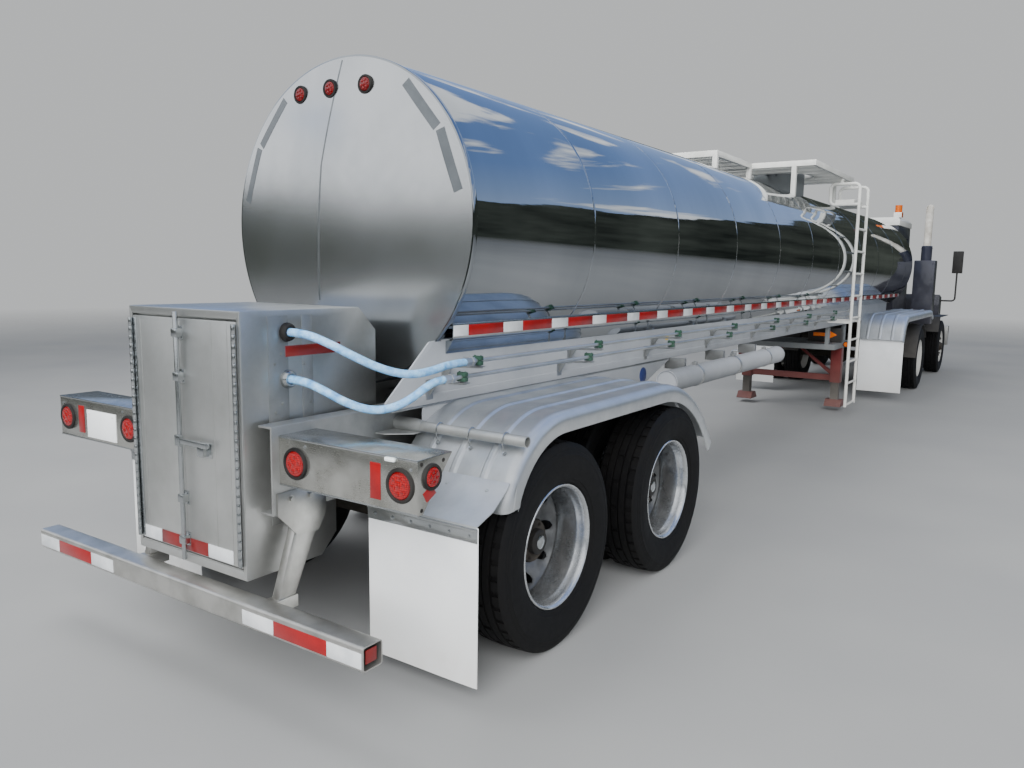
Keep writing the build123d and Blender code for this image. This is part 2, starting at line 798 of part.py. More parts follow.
for z in (upper_gland_z, lower_gland_z):
    cabinet += rod((gland_x, cabinet_right_y + 2, z), (gland_x, cabinet_right_y - gland_length, z),
                   gland_radius)
foot_y = subframe_web_y - seat_gap
cabinet += box((cabinet_rear_x + 200, cabinet_rear_x + 420), (cabinet_left_y - 5, foot_y), (900, 960))
cabinet += box((cabinet_rear_x + 200, cabinet_rear_x + 420), (-foot_y, cabinet_right_y + 5), (900, 960))
save("cabinet", cabinet)

door_hinge_x = cabinet_rear_x - door_hinge_stand_off


def cabinet_door(low_y, high_y, hinge_y):
    """One flat door leaf with its long hinge barrel and a lock rod."""
    leaf = box((cabinet_rear_x, front_of_door), (low_y, high_y), (door_bottom_z, door_top_z))
    barrel = rod((door_hinge_x, hinge_y, door_bottom_z + 10), (door_hinge_x, hinge_y, door_top_z - 10),
                 door_hinge_radius)
    inward = 1 if hinge_y < (low_y + high_y) / 2 else -1
    wing = box((door_hinge_x, cabinet_rear_x + 1), sorted((hinge_y, hinge_y + inward * 30)),
               (door_bottom_z + 10, door_top_z - 10))
    return leaf + barrel + wing


lock_rod_y = door_meeting_y - lock_rod_inset
lock_rod_x = cabinet_rear_x - lock_rod_stand_off
door_middle_z = (door_bottom_z + door_top_z) / 2
right_door = cabinet_door(door_right_y, door_meeting_y - move_gap / 2, door_right_y)
right_door += rod((lock_rod_x, lock_rod_y, door_bottom_z - lock_rod_reach),
                  (lock_rod_x, lock_rod_y, door_top_z + lock_rod_reach), lock_rod_radius)
for z in (door_bottom_z + 60, door_middle_z, door_top_z - 60):
    right_door += box((lock_rod_x - 2, cabinet_rear_x + 1), (lock_rod_y - 20, lock_rod_y + 20),
                      (z - 20, z + 20))
right_door += box((lock_rod_x - 16, lock_rod_x - 2),
                  (lock_rod_y + 15 - lock_handle_length, lock_rod_y + 15),
                  (door_middle_z - lock_handle_drop - 13, door_middle_z - lock_handle_drop + 13))
save("cabinet_door_left", cabinet_door(door_meeting_y + move_gap / 2, door_left_y, door_left_y))
save("cabinet_door_right", right_door)

# Discharge outlet inside the cabinet: pipe from the tank's sump, valve body and cap
outlet_x = cabinet_rear_x + 130
outlet = rod((outlet_x, outlet_y, outlet_z), (outlet_x + 180, outlet_y, outlet_z), outlet_radius)
outlet += rod((outlet_x, outlet_y, outlet_z), (outlet_x + ferrule_wall, outlet_y, outlet_z), ferrule_radius)
outlet += rod((outlet_x + 150, outlet_y, cabinet_bottom_z + cabinet_wall + seat_gap),
              (outlet_x + 150, outlet_y, outlet_z + 120), 55)
outlet -= rod((outlet_x - 1, outlet_y, outlet_z), (outlet_x + outlet_bore_depth, outlet_y, outlet_z),
              outlet_bore_radius)
save("cabinet_outlet", outlet)


# Landing gear: two legs with sleeves, feet, a cross brace and diagonals
def landing_leg():
    """Left leg with its inner tube and foot."""
    half = gear_leg_width / 2
    inner = gear_inner_leg_width / 2
    sleeve = box((gear_x - half, gear_x + half), (gear_y - half, gear_y + half),
                 (gear_sleeve_bottom_z, gear_top_z - seat_gap))
    tube = box((gear_x - inner, gear_x + inner), (gear_y - inner, gear_y + inner),
               (gear_foot_bottom_z + gear_foot_height - 10, gear_sleeve_bottom_z + 10))
    wide = gear_foot_width / 2
    low = gear_foot_bottom_z
    foot = side_plate([(gear_x - wide, low), (gear_x + wide, low), (gear_x + wide, low + 12),
                       (gear_x + inner + 15, low + gear_foot_height),
                       (gear_x - inner - 15, low + gear_foot_height), (gear_x - wide, low + 12)],
                      (gear_y - wide * 0.8, gear_y + wide * 0.8))
    return sleeve + tube + foot


landing_gear = both_sides(landing_leg())
landing_gear += box((gear_x - 25, gear_x + 25), (-gear_y, gear_y), (gear_brace_z - 40, gear_brace_z + 40))
brace = cross_plate([(gear_y - 60, gear_brace_z + 30), (gear_y - 60, gear_brace_z + 90),
                     (120, gear_top_z - 5), (70, gear_top_z - 5)], (gear_x - 20, gear_x + 20))
landing_gear += both_sides(brace)
box_y = gear_y + gear_leg_width / 2
crank_y = box_y + gear_box_depth + crank_reach
landing_gear += box((gear_x - gear_box_size / 2, gear_x + gear_box_size / 2),
                    (box_y - 1, box_y + gear_box_depth), (gear_box_z, gear_box_z + gear_box_size))
landing_gear += bent_rod([(gear_x, box_y + gear_box_depth - 5, gear_box_z + gear_box_size / 2),
                          (gear_x, crank_y, gear_box_z + gear_box_size / 2),
                          (gear_x, crank_y, gear_box_z + gear_box_size / 2 - crank_throw),
                          (gear_x, crank_y + crank_reach, gear_box_z + gear_box_size / 2 - crank_throw)],
                         30.0, crank_radius)
save("landing_gear", landing_gear)

# Deck over the legs, hung from the side rails, with the amber arrow lamp
deck_low = gear_top_z
deck = box((gear_x - deck_length / 2, gear_x + deck_length / 2), (-deck_half_width, deck_half_width),
           (deck_low, deck_low + deck_height))
for x in (gear_x - deck_length / 2, gear_x + deck_length / 2 - 80):
    post = box((x, x + 80), (rail_y - 60, rail_y - rail_wall - 5),
               (deck_low + deck_height - 1, rail_bottom_z - seat_gap))
    deck += both_sides(post)
save("gear_deck", deck)
arrow_lamp = box((gear_x - 60, gear_x + 60), (220, 650),
                 (deck_low + deck_height + seat_gap, deck_low + deck_height + 190))
lamps += other_side(arrow_lamp)
save("lamps", lamps)


# Ladder on the right side, its rails bent in at the top round a small step
def ladder():
    """Both rails, the rungs, the hung step and the arms to the deck and rail."""
    body = None
    for x in (ladder_rear_x, ladder_rear_x + ladder_width):
        rail = bent_rod([(x, -ladder_y, ladder_bottom_z), (x, -ladder_y, ladder_top_z),
                         (x, -ladder_inner_y, ladder_top_z), (x, -ladder_inner_y, ladder_step_z),
                         (x, -ladder_y + 5, ladder_step_z)], 60.0, ladder_tube_radius)
        body = rail if body is None else body + rail
    pitch = (ladder_step_z - ladder_bottom_z - 40) / ladder_rung_count
    for number in range(ladder_rung_count):
        z = ladder_bottom_z + 20 + number * pitch
        body += rod((ladder_rear_x, -ladder_y, z), (ladder_rear_x + ladder_width, -ladder_y, z), 14)
    body += box((ladder_rear_x + 10, ladder_rear_x + ladder_width - 10),
                (-ladder_y + 60, -ladder_inner_y - 60), (ladder_step_z, ladder_step_z + 60))
    for x in (ladder_rear_x, ladder_rear_x + ladder_width):
        body += box((x - 15, x + 15), (-ladder_y, -rail_y - seat_gap),
                    (rail_bottom_z + 60, rail_bottom_z + 90))
        body += box((x - 15, x + 15), (-front_platform_half_width + 5, -front_platform_half_width + 35),
                    (ladder_top_z, platform_z - seat_gap))
    return body


save("ladder", ladder())


# Walkway: two grating platforms on posts
def platform(x, y):
    """Frame with cross slats."""
    low, high = platform_z, platform_z + platform_height
    outer = box(x, y, (low, high))
    inner = box((x[0] + platform_bar, x[1] - platform_bar), (y[0] + platform_bar, y[1] - platform_bar),
                (low - 1, high + 1))
    frame = outer - inner
    slat_pitch = 150.0
    slats = int((x[1] - x[0] - 2 * platform_bar) / slat_pitch)
    for number in range(1, slats + 1):
        at = x[0] + number * slat_pitch + platform_bar / 2
        frame += box((at, at + 30), (y[0] + 5, y[1] - 5), (low + 20, high))
    return frame


front_platform = platform((front_platform_rear_x, front_platform_front_x),
                          (-front_platform_half_width, front_platform_half_width))
front_platform -= rod((manhole_x, 0, platform_z - 5), (manhole_x, 0, platform_z + platform_height + 5),
                      manhole_radius + 90)
ring = rod((manhole_x, 0, platform_z), (manhole_x, 0, platform_z + platform_height), manhole_radius + 110)
ring -= rod((manhole_x, 0, platform_z - 5), (manhole_x, 0, platform_z + platform_height + 5),
            manhole_radius + 80)
front_platform += ring
post_y = 420.0
for x in (front_platform_rear_x, front_platform_front_x - 50):
    post = box((x, x + 50), (post_y, post_y + 50), (tank_top_at(post_y + 50), platform_z + 20))
    front_platform += both_sides(post)
rear_platform = platform((rear_platform_rear_x, rear_platform_front_x),
                         (rear_platform_right_y, rear_platform_left_y))
for y in (rear_platform_right_y, rear_platform_left_y - 50):
    low_z = tank_top_at(max(y, y + 50))
    rear_platform += box((rear_platform_rear_x, rear_platform_rear_x + 50), (y, y + 50),
                         (low_z, platform_z + 20))
    rear_platform += box((rear_platform_front_x - 50, rear_platform_front_x), (y, y + 50),
                         (low_z, platform_z + 20))
save("walkway", (front_platform + rear_platform) - tank_space)

# Manhole neck and lid
neck = rod((manhole_x, 0, tank_axis_z), (manhole_x, 0, manhole_top_z), manhole_radius)
neck -= rod((manhole_x, 0, tank_axis_z + tank_radius + 10), (manhole_x, 0, manhole_top_z + 1),
            manhole_radius - manhole_wall)
neck -= tank_space
hinge_x = manhole_x - lid_radius - 22
hinge_z = manhole_top_z + 14
lug = box((hinge_x - 14, hinge_x + 14), (40, 60), (manhole_top_z - 60, hinge_z + 14))
lug += box((hinge_x - 14, manhole_x - manhole_radius + 5), (40, 60), (manhole_top_z - 60, manhole_top_z - 10))
lug -= rod((hinge_x, 30, hinge_z), (hinge_x, 70, hinge_z), 7 + seat_gap)
neck += both_sides(lug)
save("manhole_neck", neck)
lid = rod((manhole_x, 0, manhole_top_z + seat_gap), (manhole_x, 0, manhole_top_z + lid_height), lid_radius)
lid += box((hinge_x, manhole_x - lid_radius + 20), (-32, 32), (hinge_z - 7, hinge_z + 7))
lid += rod((hinge_x, -60, hinge_z), (hinge_x, 60, hinge_z), 7)
save("manhole_lid", lid)


# Cleaning lines on the right side, with brackets on the rail
def cleaning_lines():
    """Two thin tubes held by bracket plates along the rail."""
    body = None
    for rear_x, z in ((upper_line_rear_x, upper_line_z), (lower_line_rear_x, lower_line_z)):
        line = rod((rear_x, -line_y, z), (line_front_x, -line_y, z), line_radius)
        body = line if body is None else body + line
    count = int((line_front_x - upper_line_rear_x) / line_bracket_pitch) + 1
    for number in range(count):
        x = upper_line_rear_x + 90 + number * line_bracket_pitch
        body += cross_plate([(-rail_y - seat_gap, rail_bottom_z + 60),
                             (-rail_y - seat_gap, upper_line_z + 20),
                             (-line_y - 22, upper_line_z + 20), (-line_y - 22, lower_line_z - 22)],
                            (x, x + 8))
        for z in (upper_line_z, lower_line_z):
            body += box((x - 20, x + 28), (-line_y - 28, -line_y + 28), (z - 26, z + 26))
    return body


# Hose tube under the right rail, on straps
hose_tube = rod((hose_tube_rear_x, -hose_tube_y, hose_tube_z),
                (hose_tube_rear_x + hose_tube_length, -hose_tube_y, hose_tube_z), hose_tube_radius)
for number in range(3):
    x = hose_tube_rear_x + 500 + number * 850
    hose_tube += box((x, x + 40), (-hose_tube_y, -rail_y + rail_lip - 10),
                     (hose_tube_z + 30, rail_bottom_z - seat_gap))
save("side_lines", cleaning_lines() + hose_tube)

# Hoses from the cabinet's glands to the rear ends of the two lines
gland_face_y = cabinet_right_y - gland_length
upper_hose_points = [
    (335, gland_face_y, 1515), (335, -480, 1515), (366, -578, 1482), (434, -664, 1424), (530, -733, 1366),
    (646, -781, 1336), (766, -800, 1345), (890, -800, 1364), (1011, -800, 1364)]
lower_hose_points = [
    (335, gland_face_y, 1317), (335, -470, 1317), (356, -558, 1286), (412, -640, 1230), (494, -704, 1194),
    (580, -748, 1200), (658, -779, 1234), (726, -796, 1274), (794, -800, 1298), (858, -800, 1298)]


def bend_radii(points):
    """Bend radius at each inner point, as large as its two runs allow."""
    radii = []
    for before, corner, after in zip(points, points[1:], points[2:]):
        run_in = Vector(*corner) - Vector(*before)
        run_out = Vector(*after) - Vector(*corner)
        half_turn = radians(run_in.get_angle(run_out)) / 2
        limit = 0.45 * min(run_in.length, run_out.length)
        radii.append(limit * cos(half_turn) / max(sin(half_turn), 1e-6))
    return radii


for name, points in (("upper_hose", upper_hose_points), ("lower_hose", lower_hose_points)):
    radii = bend_radii(points)
    path = FilletPolyline(*points, radius=radii)
    hose = sweep(Plane(origin=path @ 0, z_dir=path % 0) * Circle(hose_radius), path=path)
    print(name, "radii", [round(r) for r in radii])
    print(name, "volume", round(hose.volume), "expected", round(pi * hose_radius ** 2 * path.length))
    save(name, hose)

# Tractor frame: two rails, cross members and the rear beam
front_axle_x = drive_axle_x + wheelbase
rail_low, rail_high = tractor_rail_y - tractor_rail_width / 2, tractor_rail_y + tractor_rail_width / 2
tractor_rail_bottom_z = tractor_rail_top_z - tractor_rail_height
frame_front_x = front_bumper_x - 160


def tractor_rail():
    """Left channel rail."""
    rail = box((tractor_rear_x, frame_front_x), (rail_low, rail_high),
               (tractor_rail_bottom_z, tractor_rail_top_z))
    rail -= box((tractor_rear_x - 1, frame_front_x + 1), (rail_low - 1, rail_high - 9),
                (tractor_rail_bottom_z + 9, tractor_rail_top_z - 9))
    return rail


tractor_frame = both_sides(tractor_rail())
for x in (tractor_rear_x, drive_axle_x - 500, drive_axle_x + 800, frame_front_x - 120):
    tractor_frame += box((x, x + 110), (-rail_high + 5, rail_high - 5),
                         (tractor_rail_bottom_z + 30, tractor_rail_top_z - 30))
save("tractor_frame", tractor_frame)


# Fifth wheel on its pedestals
def fifth_wheel():
    """Plate with a flared slot behind the kingpin, on two pedestals."""
    top = coupler_plate_z - seat_gap
    low = top - fifth_wheel_thickness
    rear, front = kingpin_x - fifth_wheel_length / 2, kingpin_x + fifth_wheel_length / 2 - 60
    wide = fifth_wheel_half_width
    plate = flat_plate([(rear, -wide * 0.55), (rear + 180, -wide), (front - 160, -wide), (front, -wide * 0.6),
                        (front, wide * 0.6), (front - 160, wide), (rear + 180, wide), (rear, wide * 0.55)],
                       (low, top))
    slot = kingpin_flange_radius + move_gap
    plate -= flat_plate([(rear - 10, -150), (kingpin_x - 120, -slot), (kingpin_x, -slot),
                         (kingpin_x, slot), (kingpin_x - 120, slot), (rear - 10, 150)], (low - 60, top + 1))
    plate -= rod((kingpin_x, 0, low - 60), (kingpin_x, 0, top + 1), slot)
    foot_z = tractor_rail_top_z + seat_gap
    pedestal = side_plate([(kingpin_x - 230, foot_z), (kingpin_x + 230, foot_z),
                           (kingpin_x + 90, low + 1), (kingpin_x - 90, low + 1)],
                          (rail_low - 72.5, rail_high - 5))
    return plate + both_sides(pedestal)


save("fifth_wheel", fifth_wheel())

# Tractor axles
drive_tube = rod((drive_axle_x, -drum_inner_y + seat_gap, tyre_radius),
                 (drive_axle_x, drum_inner_y - seat_gap, tyre_radius), axle_tube_radius)
drive_tube += Pos(drive_axle_x, 60, tyre_radius) * Sphere(175)
leaf_half = 500.0
leaf_top_z = tractor_rail_bottom_z - seat_gap
leaf_low_z = tyre_radius + axle_tube_radius - 15
leaf = side_plate([(drive_axle_x - leaf_half, leaf_top_z), (drive_axle_x - leaf_half, leaf_top_z - 60),
                   (drive_axle_x - 90, leaf_low_z), (drive_axle_x + 90, leaf_low_z),
                   (drive_axle_x + leaf_half, leaf_top_z - 60), (drive_axle_x + leaf_half, leaf_top_z),
                   (drive_axle_x + 120, leaf_top_z - 50), (drive_axle_x - 120, leaf_top_z - 50)],
                  (rail_low, rail_high))
save("drive_axle", drive_tube + both_sides(leaf))

beam_z = tyre_radius - 20
beam_half = steer_pin_y - 75
beam = box((front_axle_x - 50, front_axle_x + 50), (-beam_half, beam_half), (beam_z - 60, beam_z + 60))
boss = box((front_axle_x - 40, front_axle_x + 40), (beam_half - 10, steer_pin_y - 20),
           (tyre_radius - 55, tyre_radius + 55))
boss += rod((front_axle_x, steer_pin_y, tyre_radius - 55), (front_axle_x, steer_pin_y, tyre_radius + 55), 45)
boss -= rod((front_axle_x, steer_pin_y, 0), (front_axle_x, steer_pin_y, 2 * tyre_radius),
            steer_pin_radius + seat_gap)
front_leaf = side_plate([(front_axle_x - 450, tractor_rail_bottom_z - seat_gap),
                         (front_axle_x - 450, tractor_rail_bottom_z - 40), (front_axle_x - 80, beam_z + 55),
                         (front_axle_x + 80, beam_z + 55), (front_axle_x + 450, tractor_rail_bottom_z - 40),
                         (front_axle_x + 450, tractor_rail_bottom_z - seat_gap),
                         (front_axle_x + 100, beam_z + 110), (front_axle_x - 100, beam_z + 110)],
                        (rail_low, rail_high))
save("front_axle", beam + both_sides(boss) + both_sides(front_leaf))


# Knuckles: fork round the beam's boss, with the pin and the spindle
def knuckle():
    """Left steering knuckle."""
    fork_high = 55 + move_gap / 4
    body = rod((front_axle_x, steer_pin_y, tyre_radius - 95), (front_axle_x, steer_pin_y, tyre_radius + 95),
               steer_pin_radius)
    for low, high in ((-95, -fork_high), (fork_high, 95)):
        body += box((front_axle_x - 45, front_axle_x + 45), (steer_pin_y - 40, steer_pin_y + 75),
                    (tyre_radius + low, tyre_radius + high))
    body += box((front_axle_x - 45, front_axle_x + 45), (steer_pin_y + 60, steer_pin_y + 80),
                (tyre_radius - 95, tyre_radius + 95))
    body += rod((front_axle_x, steer_pin_y + 75, tyre_radius),
                (front_axle_x, front_drum_inner_y - seat_gap, tyre_radius), 45)
    body += box((front_axle_x - 230, front_axle_x - 40), (steer_pin_y - 30, steer_pin_y + 10),
                (tyre_radius - 95, tyre_radius - 65))
    return body


front_tyre_y = front_rim_plane - rim_half_width
front_drum_inner_y = front_tyre_y - 50


def front_rim(x):
    """Left front rim with its convex disc, hub and drum."""
    y = front_tyre_y
    inner = bead_radius - rim_wall
    disc = turned_about_wheel(x, [
        (y + 40, 0), (y + 40, bolt_circle_radius), (y - 30, inner + 2), (y - 5, inner + 2),
        (y + 70, bolt_circle_radius + 10), (y + 70, 0)])
    disc -= hand_holes(x, y - 40, y + 80)
    hub = turned_about_wheel(x, [
        (y + 60, 0), (y + 60, hub_radius - 40), (y + 130, hub_cap_radius), (y + 150, hub_cap_radius - 10),
        (y + 150, 0)])
    drum = turned_about_wheel(x, [
        (front_drum_inner_y, 0), (front_drum_inner_y, drum_radius - 10),
        (y + 45, drum_radius - 40), (y + 45, 0)])
    return rim_barrel(x, y) + disc + hub + drum


save("knuckle_left", knuckle())
save("knuckle_right", other_side(knuckle()))
front_wheel_rim = front_rim(front_axle_x)
front_wheel_tyre = tyre(front_axle_x, front_tyre_y)
save("front_rim_left", front_wheel_rim)
save("front_rim_right", other_side(front_wheel_rim))
save("front_tyre_left", front_wheel_tyre)
save("front_tyre_right", other_side(front_wheel_tyre))

# Engine, one plain block between the rails under the cab
engine_low_z = tractor_rail_bottom_z + 20
save("engine", box((front_axle_x - 550, front_axle_x + 500), (-rail_low + seat_gap, rail_low - seat_gap),
                   (engine_low_z, cab_floor_z - 20)))


# Cab: a hollow box offset to the left, its windows and door cut out
def cab_side_outline(inset):
    """Side outline of the cab with a raked windscreen."""
    low, high = cab_floor_z + inset, cab_roof_z - inset
    return [(cab_rear_x + inset, low), (cab_rear_x + inset, high),
            (cab_front_x - cab_nose_rake - inset, high),
            (cab_front_x - inset, cab_waist_z), (cab_front_x - inset, low)]


window_bottom_z = 1780.0
window_top_z = 2560.0
door_rear_x = cab_rear_x + 330
door_front_x = cab_front_x - 260
cab_door_bottom_z = cab_floor_z + 50
cab_door_top_z = cab_roof_z - 80
cab = side_plate(cab_side_outline(0), (cab_right_y, cab_left_y))
cab -= side_plate(cab_side_outline(cab_wall), (cab_right_y + cab_wall, cab_left_y - cab_wall))
rear_window = box((cab_rear_x - 5, cab_rear_x + cab_wall + 5),
                  (cab_right_y + window_margin, cab_left_y - window_margin), (window_bottom_z, window_top_z))
windscreen = box((cab_front_x - cab_nose_rake - 2 * cab_wall, cab_front_x + 5),
                 (cab_right_y + window_margin, cab_left_y - window_margin),
                 (window_bottom_z, window_top_z + 40))
right_window = box((cab_rear_x + 200, cab_front_x - cab_nose_rake - 140),
                   (cab_right_y - 5, cab_right_y + cab_wall + 5), (window_bottom_z - 120, window_top_z))
door_hole = box((door_rear_x - move_gap, door_front_x + move_gap),
                (cab_left_y - cab_wall - 5, cab_left_y + 5),
                (cab_door_bottom_z - move_gap, cab_door_top_z + move_gap))
cab = cab - rear_window - windscreen - right_window - door_hole
for x in (cab_rear_x + 40, cab_front_x - 240):
    cab += both_sides(box((x, x + 120), (rail_low, rail_high),
                          (tractor_rail_top_z + seat_gap, cab_floor_z + 5)))
save("cab_shell", cab)

glass_inset = cab_wall / 2 - glass_wall / 2
rear_glass = box((cab_rear_x + glass_inset, cab_rear_x + glass_inset + glass_wall),
                 (cab_right_y + window_margin + seat_gap, cab_left_y - window_margin - seat_gap),
                 (window_bottom_z + seat_gap, window_top_z - seat_gap))
right_glass = box((cab_rear_x + 200 + seat_gap, cab_front_x - cab_nose_rake - 140 - seat_gap),
                  (cab_right_y + glass_inset, cab_right_y + glass_inset + glass_wall),
                  (window_bottom_z - 120 + seat_gap, window_top_z - seat_gap))
slab = side_plate(cab_side_outline(glass_inset), (cab_right_y + window_margin + seat_gap,
                                                  cab_left_y - window_margin - seat_gap))
slab -= side_plate(cab_side_outline(glass_inset + glass_wall), (cab_right_y, cab_left_y))
front_glass = slab & box((cab_front_x - cab_nose_rake - 2 * cab_wall, cab_front_x + 5),
                         (cab_right_y, cab_left_y),
                         (window_bottom_z + seat_gap, window_top_z + 40 - seat_gap))
save("cab_glass", rear_glass + right_glass + front_glass)

# Cab roof, a white cap with the beacon on its bracket
roof = box((cab_rear_x - 30, cab_front_x - cab_nose_rake + 10), (cab_right_y - 20, cab_left_y + 20),
           (cab_roof_z + seat_gap, cab_roof_z + roof_height))
roof = chamfer(roof.edges().group_by(Axis.Z)[-1], 50)
beacon_x, beacon_y = cab_rear_x + 120, cab_right_y + 40
beacon_low = cab_roof_z + roof_height
roof += box((beacon_x - 80, beacon_x + 80), (beacon_y - 70, beacon_y + 70), (beacon_low - 5, beacon_low + 90))
roof += rod((beacon_x, beacon_y, beacon_low + 85), (beacon_x, beacon_y, beacon_low + 220), 60)
save("cab_roof", roof)

# Left cab door with its glass
cab_door = box((door_rear_x, door_front_x), (cab_left_y - cab_wall, cab_left_y),
               (cab_door_bottom_z, cab_door_top_z))
door_window = box((door_rear_x + 90, door_front_x - 90), (cab_left_y - cab_wall - 5, cab_left_y + 5),
                  (window_bottom_z, window_top_z))
cab_door = cab_door - door_window
cab_hinge_y = cab_left_y + 14
cab_hinge_x = door_front_x + move_gap / 2
for z in (cab_door_bottom_z + 150, cab_door_top_z - 250):
    cab_door += rod((cab_hinge_x, cab_hinge_y, z), (cab_hinge_x, cab_hinge_y, z + 90), 10)
    cab_door += box((door_front_x - 60, cab_hinge_x), (cab_left_y - 1, cab_hinge_y), (z, z + 90))
save("cab_door", cab_door)
door_glass_y = cab_left_y - cab_wall + glass_inset
save("cab_door_glass", box((door_rear_x + 90 + seat_gap, door_front_x - 90 - seat_gap),
                           (door_glass_y, door_glass_y + glass_wall),
                           (window_bottom_z + seat_gap, window_top_z - seat_gap)))

# Seat, column and steering wheel inside the cab
seat_x, seat_y = cab_rear_x + 480, (cab_left_y + cab_right_y) / 2
cab_floor_top = cab_floor_z + cab_wall + seat_gap
seat = box((seat_x - 60, seat_x + 300), (seat_y - 150, seat_y + 150), (cab_floor_top, cab_floor_top + 350))
seat += box((seat_x - 100, seat_x + 400), (seat_y - 250, seat_y + 250),
            (cab_floor_top + 349, cab_floor_top + 480))
seat += side_plate([(seat_x - 100, cab_floor_top + 470), (seat_x + 20, cab_floor_top + 470),
                    (seat_x - 60, cab_floor_top + 1150), (seat_x - 160, cab_floor_top + 1150)],
                   (seat_y - 230, seat_y + 230))
column_x = cab_front_x - 330
column = rod((column_x, seat_y, cab_floor_top + 14), (column_x - 230, seat_y, cab_floor_top + 840), 35)
column += box((column_x - 70, column_x + 70), (seat_y - 70, seat_y + 70), (cab_floor_top, cab_floor_top + 30))
wheel_plane = Plane(origin=(column_x - 230, seat_y, cab_floor_top + 840), z_dir=(-230, 0, 840))
column += wheel_plane * Torus(210, 16)
column += wheel_plane * Box(420, 40, 14)
column += box((cab_front_x - cab_wall - 330, cab_front_x - cab_wall - seat_gap),
              (cab_right_y + cab_wall + seat_gap, cab_left_y - cab_wall - seat_gap),
              (cab_floor_top + 360, cab_waist_z - 10))
save("cab_interior", seat + column)

# Front cowl and bumper with its two tow eyes
cowl_foot_z = tractor_rail_top_z + seat_gap
cowl = side_plate([(cab_front_x + seat_gap, cowl_foot_z), (front_bumper_x - 60, cowl_foot_z),
                   (front_bumper_x - 110, bonnet_top_z), (cab_front_x + seat_gap, bonnet_top_z + 60)],
                  (-cowl_half_width, cowl_half_width))
front_bumper_low_z = 470.0
front_bumper = box((frame_front_x + seat_gap, front_bumper_x), (-half_width + 30, half_width - 30),
                   (front_bumper_low_z, 850))
tow_eye_x = front_bumper_x - tow_eye_setback
tow_eye_z = front_bumper_low_z - tow_eye_depth
tow_eye_y = (tractor_rail_y - tow_eye_wall / 2, tractor_rail_y + tow_eye_wall / 2)
tow_eye_outer = tow_eye_radius * 2
tow_eye = rod((tow_eye_x, tow_eye_y[0], tow_eye_z), (tow_eye_x, tow_eye_y[1], tow_eye_z), tow_eye_outer)
tow_eye += box((tow_eye_x - tow_eye_outer, tow_eye_x + tow_eye_outer), tow_eye_y,
               (tow_eye_z, front_bumper_low_z + 5))
tow_eye -= rod((tow_eye_x, tow_eye_y[0] - 1, tow_eye_z), (tow_eye_x, tow_eye_y[1] + 1, tow_eye_z),
               tow_eye_radius)


grille_face_x = front_bumper_x - 60


def grille_and_headlamps():
    """Level slats set into the cowl's face, and a round lamp at each side."""
    pitch = (grille_top_z - grille_low_z) / grille_slat_count
    parts = None
    for number in range(grille_slat_count):
        z = grille_low_z + pitch * (number + 0.5)
        slat = box((grille_face_x - 3 * grille_depth, grille_face_x - grille_depth / 2),
                   (-grille_half_width - 1, grille_half_width + 1), (z - pitch / 6, z + pitch / 6))
        parts = slat if parts is None else parts + slat
    lamp = rod((grille_face_x - 100, headlamp_y, headlamp_z), (grille_face_x + 6, headlamp_y, headlamp_z),
               headlamp_radius)
    return parts + both_sides(lamp)


grille_hole = box((grille_face_x - 3 * grille_depth, front_bumper_x),
                  (-grille_half_width, grille_half_width), (grille_low_z, grille_top_z))
save("front_end", (cowl - grille_hole) + grille_and_headlamps() + front_bumper + both_sides(tow_eye))


# Tractor fenders: one pair over the drive wheels and one over the front wheels
def arch(x, radius, angles, y):
    """Curved guard round a wheel between two angles, in degrees from straight ahead."""
    steps = 8
    wall = 12.0
    def ring(r):
        return [(x + r * cos(radians(angles[0] + (angles[1] - angles[0]) * step / steps)),
                 tyre_radius + r * sin(radians(angles[0] + (angles[1] - angles[0]) * step / steps)))
                for step in range(steps + 1)]
    return side_plate(ring(radius) + ring(radius + wall)[::-1], y)


drive_guard_radius = tyre_radius + 45
drive_guard = arch(drive_axle_x, drive_guard_radius, (35, 175),
                   (inner_tyre_y - tyre_half_width, half_width - 5))
arm_reach = 300.0
arm_top_z = tyre_radius + sqrt(drive_guard_radius ** 2 - arm_reach ** 2) + 12
for x in (drive_axle_x - arm_reach - 30, drive_axle_x + arm_reach - 30):
    drive_guard += box((x, x + 60), (rail_high + seat_gap, inner_tyre_y - tyre_half_width + 8),
                       (arm_top_z - 32, arm_top_z))
    drive_guard += box((x, x + 60), (rail_high + seat_gap, rail_high + 30),
                       (tractor_rail_top_z - 100, arm_top_z))
front_guard_y = (rail_high + 215, half_width - 20)
front_guard_top = front_guard_z + 12
front_guard = side_plate([(front_axle_x + 560, front_guard_z), (front_axle_x + 560, front_guard_top),
                          (front_axle_x - 620, front_guard_top), (front_axle_x - 780, front_guard_z - 260),
                          (front_axle_x - 768, front_guard_z - 260), (front_axle_x - 612, front_guard_z)],
                         front_guard_y)
for x in (front_axle_x - 560, front_axle_x + 480):
    front_guard += box((x, x + 60), (rail_high + seat_gap, front_guard_y[0] + 20),
                       (front_guard_z - 30, front_guard_top))
    front_guard += box((x, x + 60), (rail_high + seat_gap, rail_high + 30),
                       (tractor_rail_top_z - 100, front_guard_top))
save("tractor_fenders", both_sides(drive_guard) + both_sides(front_guard))

